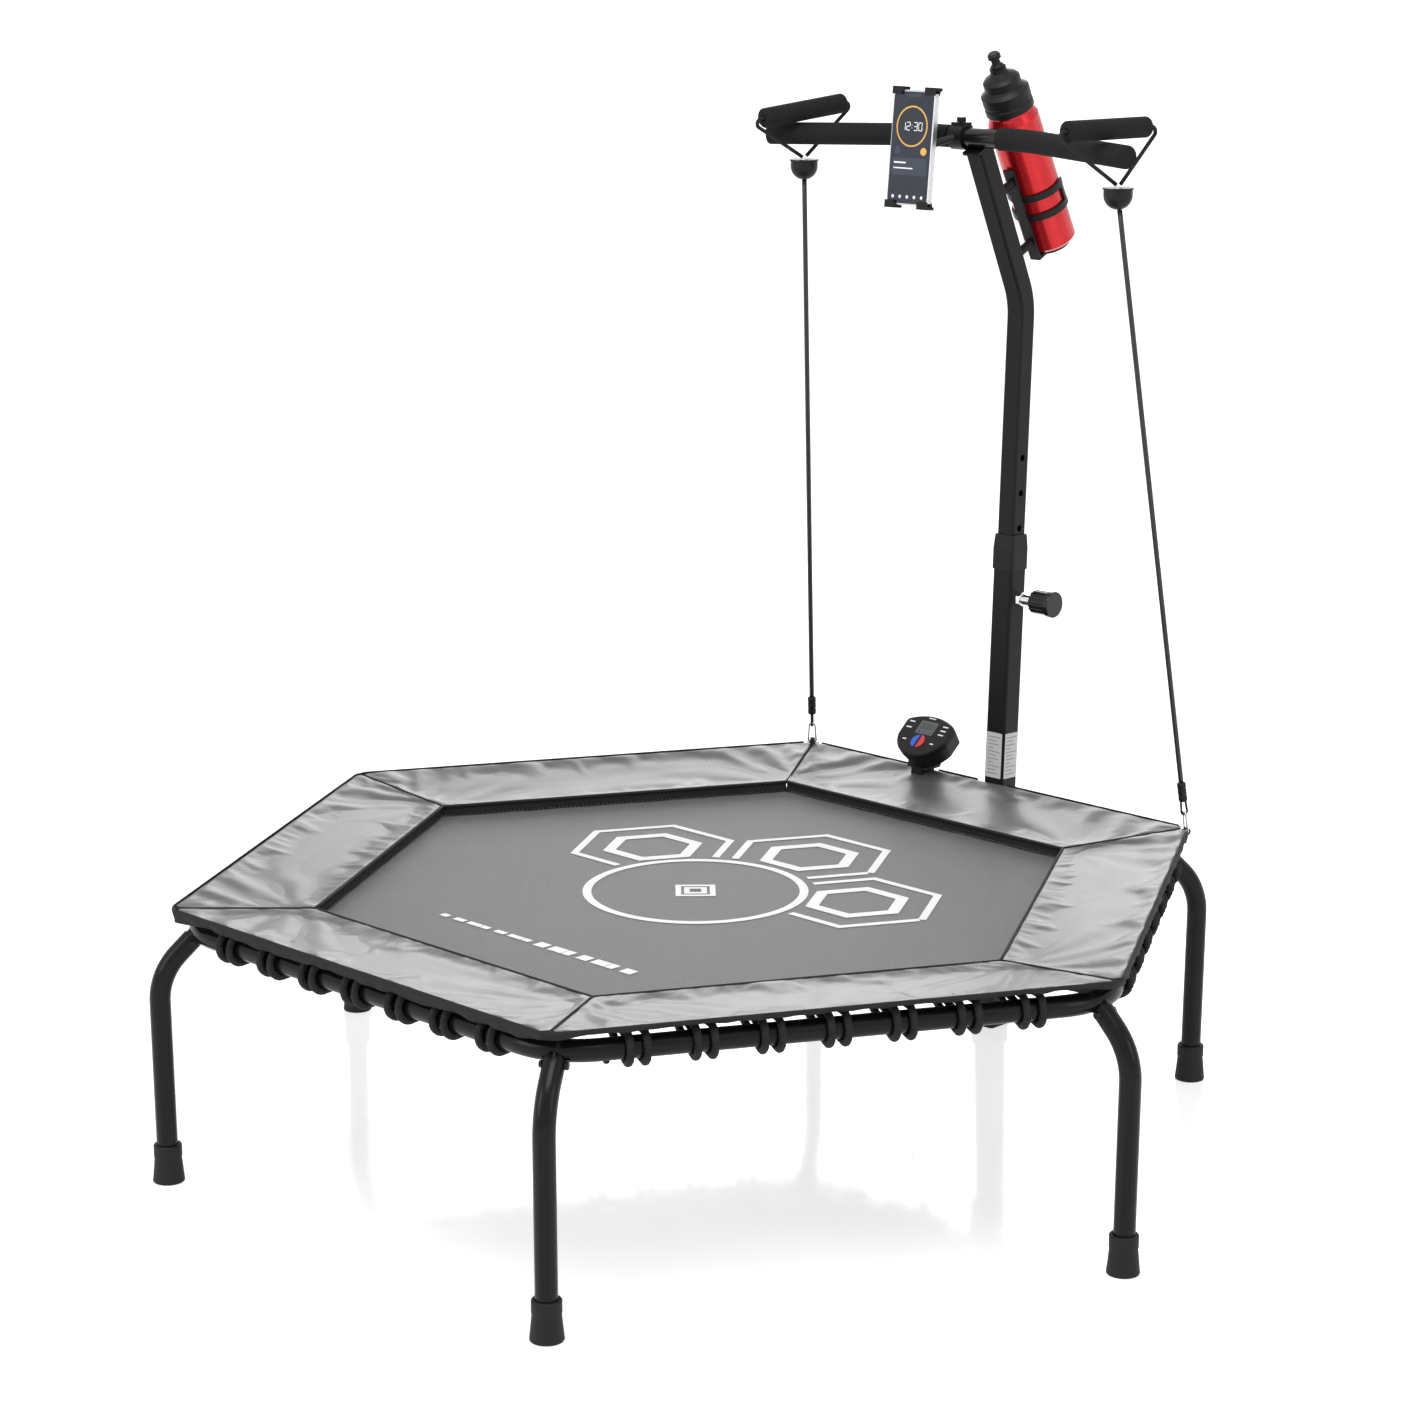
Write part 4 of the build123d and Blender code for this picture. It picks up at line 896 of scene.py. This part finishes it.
# ---------------------------------------------------------------- flat plates and numerals
def plate(origin, across, up, out, width, height, lift, corner=0.0):
    """A rounded flat plate standing lift above a surface."""
    points = []
    for cx, cy, start in ((1, 1, 0), (-1, 1, 90), (-1, -1, 180), (1, -1, 270)):
        for i in range(7):
            turn = radians(start + 15 * i)
            x = cx * (width / 2 - corner) + corner * cos(turn)
            y = cy * (height / 2 - corner) + corner * sin(turn)
            points.append(origin + across * x + up * y)
    verts = [p + out * lift for p in points] + list(points)
    count = len(points)
    faces = [tuple(range(count))]
    for i in range(count):
        faces.append((i, i + count, (i + 1) % count + count, (i + 1) % count))
    return verts, faces


def disc_ring(origin, across, up, out, radius, width, lift):
    """A flat ring standing on a surface."""
    verts = []
    faces = []
    for i in range(48):
        turn = 2 * pi * i / 48
        ray = across * cos(turn) + up * sin(turn)
        verts.append(origin + ray * (radius - width / 2) + out * lift)
        verts.append(origin + ray * (radius + width / 2) + out * lift)
    for i in range(48):
        a = 2 * i
        b = 2 * ((i + 1) % 48)
        faces.append((a, a + 1, b + 1, b))
    return verts, faces


# bars of a numeral: place across and up, in steps and half sizes, and whether the bar is level
SEGMENTS = {
    "a": (0, 1, True), "g": (0, 0, True), "d": (0, -1, True),
    "f": (-1, 0.5, False), "b": (1, 0.5, False), "e": (-1, -0.5, False), "c": (1, -0.5, False),
}
DIGITS = {"0": "abcdef", "1": "bc", "2": "abged", "3": "abgcd"}


def digit(char, origin, across, up, out, size, lift):
    """A numeral made of plain bars."""
    made = []
    for bar in DIGITS[char]:
        x, y, level = SEGMENTS[bar]
        spot = origin + across * x * size * 0.28 + up * y * size * 0.5
        wide = size * (0.5 if level else 0.11)
        high = size * (0.11 if level else 0.46)
        made.append(plate(spot, across, up, out, wide, high, lift, size * 0.03))
    return made


# ---------------------------------------------------------------- phone screen
PHONE_LEAN = radians(5.4)
phone_n = Vector((0, -cos(PHONE_LEAN), sin(PHONE_LEAN)))
phone_up = Vector((0, sin(PHONE_LEAN), cos(PHONE_LEAN)))
phone_at = Vector((-50, 440, 1191.5)) * MM
dial_at = phone_at + phone_up * 27 * MM + phone_n * 4.4 * MM


def on_screen(x, y, width, height, lift, corner=0.0):
    """A plate on the phone's front, with its place and sizes in millimetres."""
    origin = phone_at + RIGHT * x * MM + phone_up * y * MM + phone_n * 4 * MM
    return plate(origin, RIGHT, phone_up, phone_n, width * MM, height * MM, lift * MM, corner * MM)


def screen_piece(name, shape, look):
    """A piece of the phone's screen."""
    mesh_piece(name, *shape, look, "cradle", "phone_black", smooth=False)


def clock_shapes():
    """The clock's figures in the dial, and the small marks under it."""
    shapes = []
    for x, char in ((-14, "1"), (-6, "2"), (6, "3"), (14, "0")):
        shapes += digit(char, dial_at + RIGHT * x * MM, RIGHT, phone_up, phone_n, 10 * MM, 0.1 * MM)
    for y in (-2, 2):
        shapes.append(plate(dial_at + phone_up * y * MM, RIGHT, phone_up, phone_n, MM, MM, 0.1 * MM))
    shapes += [on_screen(x, -62, 4, 4, 0.4, 1.5) for x in (-24, -12, 0, 12, 24)]
    shapes += [on_screen(-16, -19, 20, 2, 0.5, 0.8), on_screen(-10, -26, 32, 1.6, 0.5, 0.6)]
    return shapes


cards = [
    on_screen(0, -24, 58, 22, 0.32, 3), on_screen(-22, -4, 10, 10, 0.32, 5), on_screen(0, 66, 22, 4, 0.3, 2),
]
screen_piece("phone_screen", on_screen(0, 0, 66, 141, 0.25, 7), screen_dark)
screen_piece("phone_cards", join_parts(cards), screen_panel)
screen_piece("phone_dial", disc_ring(dial_at, RIGHT, phone_up, phone_n, 25 * MM, 2 * MM, 0), ring_orange)
screen_piece("phone_key", on_screen(22, -4, 10, 10, 0.32, 5), ring_orange)
screen_piece("phone_digits", join_parts(clock_shapes()), digit_white)

# ---------------------------------------------------------------- counter face details
COUNTER_TILT = radians(40)
count_n = Vector((0, -sin(COUNTER_TILT), cos(COUNTER_TILT)))
count_up = Vector((0, cos(COUNTER_TILT), sin(COUNTER_TILT)))
count_at = Vector((-105, 540.7, 393.1)) * MM
GLASS_DROP = 0.15  # millimetres that the figures' feet stand below the face


def on_counter(x, y, width, height, lift, base=0.0):
    """A plate on the counter's front, with its place and sizes in millimetres."""
    origin = count_at + RIGHT * x * MM + count_up * y * MM + count_n * base * MM
    return plate(origin, RIGHT, count_up, count_n, width * MM, height * MM, lift * MM)


def make_counter_marks():
    """Plain dashes where the counter's face is printed."""
    dashes = [on_counter(-29, y, 9, 2, 0.15) for y in (18, 8)]
    dashes += [on_counter(29, y, 9, 2, 0.15) for y in (19, 12, 5)]
    dashes += [on_counter(x, -12, 6, 2, 0.15) for x in (-24, 24)]
    dashes.append(on_counter(0, 28, 12, 1.6, 0.15))
    mesh_piece("counter_marks", *join_parts(dashes), digit_white, "frame", "lcd", smooth=False)


def make_lcd_figures():
    """Four zeros on the display, and three dashes under them."""
    figures = []
    for i in range(4):
        spot = count_at + RIGHT * (-9 + 6 * i) * MM + count_up * 14 * MM - count_n * GLASS_DROP * MM
        figures += digit("0", spot, RIGHT, count_up, count_n, 8 * MM, 0.1 * MM)
    figures += [on_counter(x, 4.5, 5, 1.2, 0.1, -GLASS_DROP) for x in (-9, 0, 9)]
    mesh_piece("lcd_figures", *join_parts(figures), lcd_ink, "frame", "lcd", smooth=False)


make_counter_marks()
make_lcd_figures()

# ---------------------------------------------------------------- blank label on the lower post
POST_LEAN = radians(2.1)
post_up = Vector((0, sin(POST_LEAN), cos(POST_LEAN)))
post_back = Vector((0, cos(POST_LEAN), -sin(POST_LEAN)))
label_at = Vector((0, 568.4, 0)) * MM + post_up * 378 * MM
POST_HALF = 16 * MM
LABEL_WIDE = 26 * MM
LABEL_TALL = 62 * MM
RULES_WIDE = 20 * MM
# the post's two labelled faces: a label's middle, the direction along its rules, and the way it faces
FACES = [
    (label_at - post_back * POST_HALF, RIGHT, -post_back),
    (label_at + RIGHT * POST_HALF, post_back, RIGHT),
]


def make_label():
    """A blank label on two faces of the post, with grey rules where its text is."""
    labels = []
    for spot, across, out in FACES:
        labels.append(plate(spot, across, post_up, out, LABEL_WIDE, LABEL_TALL, 0.15 * MM, MM))
    mesh_piece("post_label", *join_parts(labels), label_paper, "frame", "post_paint", smooth=False)
    rules = []
    for i in range(11):
        wide = (20, 14, 18, 9)[i % 4] * MM
        for spot, across, out in FACES:
            centre = spot + post_up * (25 - 5 * i) * MM - across * (RULES_WIDE - wide) / 2
            rules.append(plate(centre, across, post_up, out, wide, 1.3 * MM, 0.25 * MM))
    mesh_piece("label_rules", *join_parts(rules), label_grey, "frame", "post_paint", smooth=False)


make_label()

# ---------------------------------------------------------------- floor, light and camera
WHITE = (1, 1, 1, 1)
FLOOR_GLOW = 0.66
SKY_LIGHT = 0.32
FLOOR_DROP = 0.5 * MM  # keeps the floor just clear of the feet


def make_ground():
    """A wide, glossy white floor that glows a little, so that its far end is as bright as the backdrop."""
    bpy.ops.mesh.primitive_plane_add(size=240, location=(0, 0, -FLOOR_DROP))
    ground = bpy.context.object
    ground.name = "ground"
    ground_white = material("ground_white", (0.72, 0.72, 0.725), 0.07, spec=0.5, mottle=0.003)
    shader = ground_white.node_tree.nodes["Principled BSDF"]
    shader.inputs["Emission Color"].default_value = WHITE
    shader.inputs["Emission Strength"].default_value = FLOOR_GLOW
    ground.data.materials.append(ground_white)


def softbox(name, place, target, size, power):
    """A square area light that faces its target."""
    lamp = bpy.data.lights.new(name, "AREA")
    lamp.shape = "SQUARE"
    lamp.size = size
    lamp.energy = power
    piece = bpy.data.objects.new(name, lamp)
    piece.location = place
    piece.rotation_euler = (Vector(target) - Vector(place)).to_track_quat("-Z", "Y").to_euler()
    bpy.context.scene.collection.objects.link(piece)


def make_world():
    """Dim white light from all round, which the camera and mirror surfaces see as a bright backdrop."""
    world = bpy.data.worlds.new("studio")
    world.use_nodes = True
    nodes = world.node_tree.nodes
    links = world.node_tree.links
    dim = nodes["Background"]
    dim.inputs["Color"].default_value = WHITE
    dim.inputs["Strength"].default_value = SKY_LIGHT
    backdrop = nodes.new("ShaderNodeBackground")
    backdrop.inputs["Color"].default_value = WHITE
    backdrop.inputs["Strength"].default_value = 1.0
    seen = nodes.new("ShaderNodeLightPath")
    both = nodes.new("ShaderNodeMixShader")
    bright = nodes.new("ShaderNodeMath")
    bright.operation = "MAXIMUM"
    links.new(seen.outputs["Is Camera Ray"], bright.inputs[0])
    links.new(seen.outputs["Is Glossy Ray"], bright.inputs[1])
    links.new(bright.outputs[0], both.inputs[0])
    links.new(dim.outputs[0], both.inputs[1])
    links.new(backdrop.outputs[0], both.inputs[2])
    links.new(both.outputs[0], nodes["World Output"].inputs["Surface"])
    bpy.context.scene.world = world
    bpy.context.scene.view_settings.view_transform = "Standard"


CAMERA_AT = Vector((2.8322, -2.8991, 1.5214))
CAMERA_WAY = unit(-0.6774, 0.6970, -0.2351)
CAMERA_LENS = 86.84


def make_camera():
    """The camera, solved from the photograph."""
    lens = bpy.data.cameras.new("camera")
    lens.lens = CAMERA_LENS
    lens.sensor_width = 36
    lens.clip_end = 400
    camera = bpy.data.objects.new("camera", lens)
    bpy.context.scene.collection.objects.link(camera)
    right = CAMERA_WAY.cross(UP).normalized()
    up = right.cross(CAMERA_WAY)
    turn = Matrix((right, up, -CAMERA_WAY)).transposed().to_4x4()
    camera.matrix_world = Matrix.Translation(CAMERA_AT) @ turn
    bpy.context.scene.camera = camera


make_ground()
softbox("top_box", (0.9, -1.2, 3.3), (0.2, -0.4, 0.3), 2.2, 74)
softbox("back_box", (-2.6, 3.2, 1.9), (0, 0, 0.5), 2.4, 52)
softbox("left_box", (-1.2, -3.6, 1.8), (0, 0, 0.5), 1.8, 30)
softbox("right_box", (4.2, 0.6, 1.8), (0, 0.2, 0.7), 1.8, 20)
make_world()
make_camera()
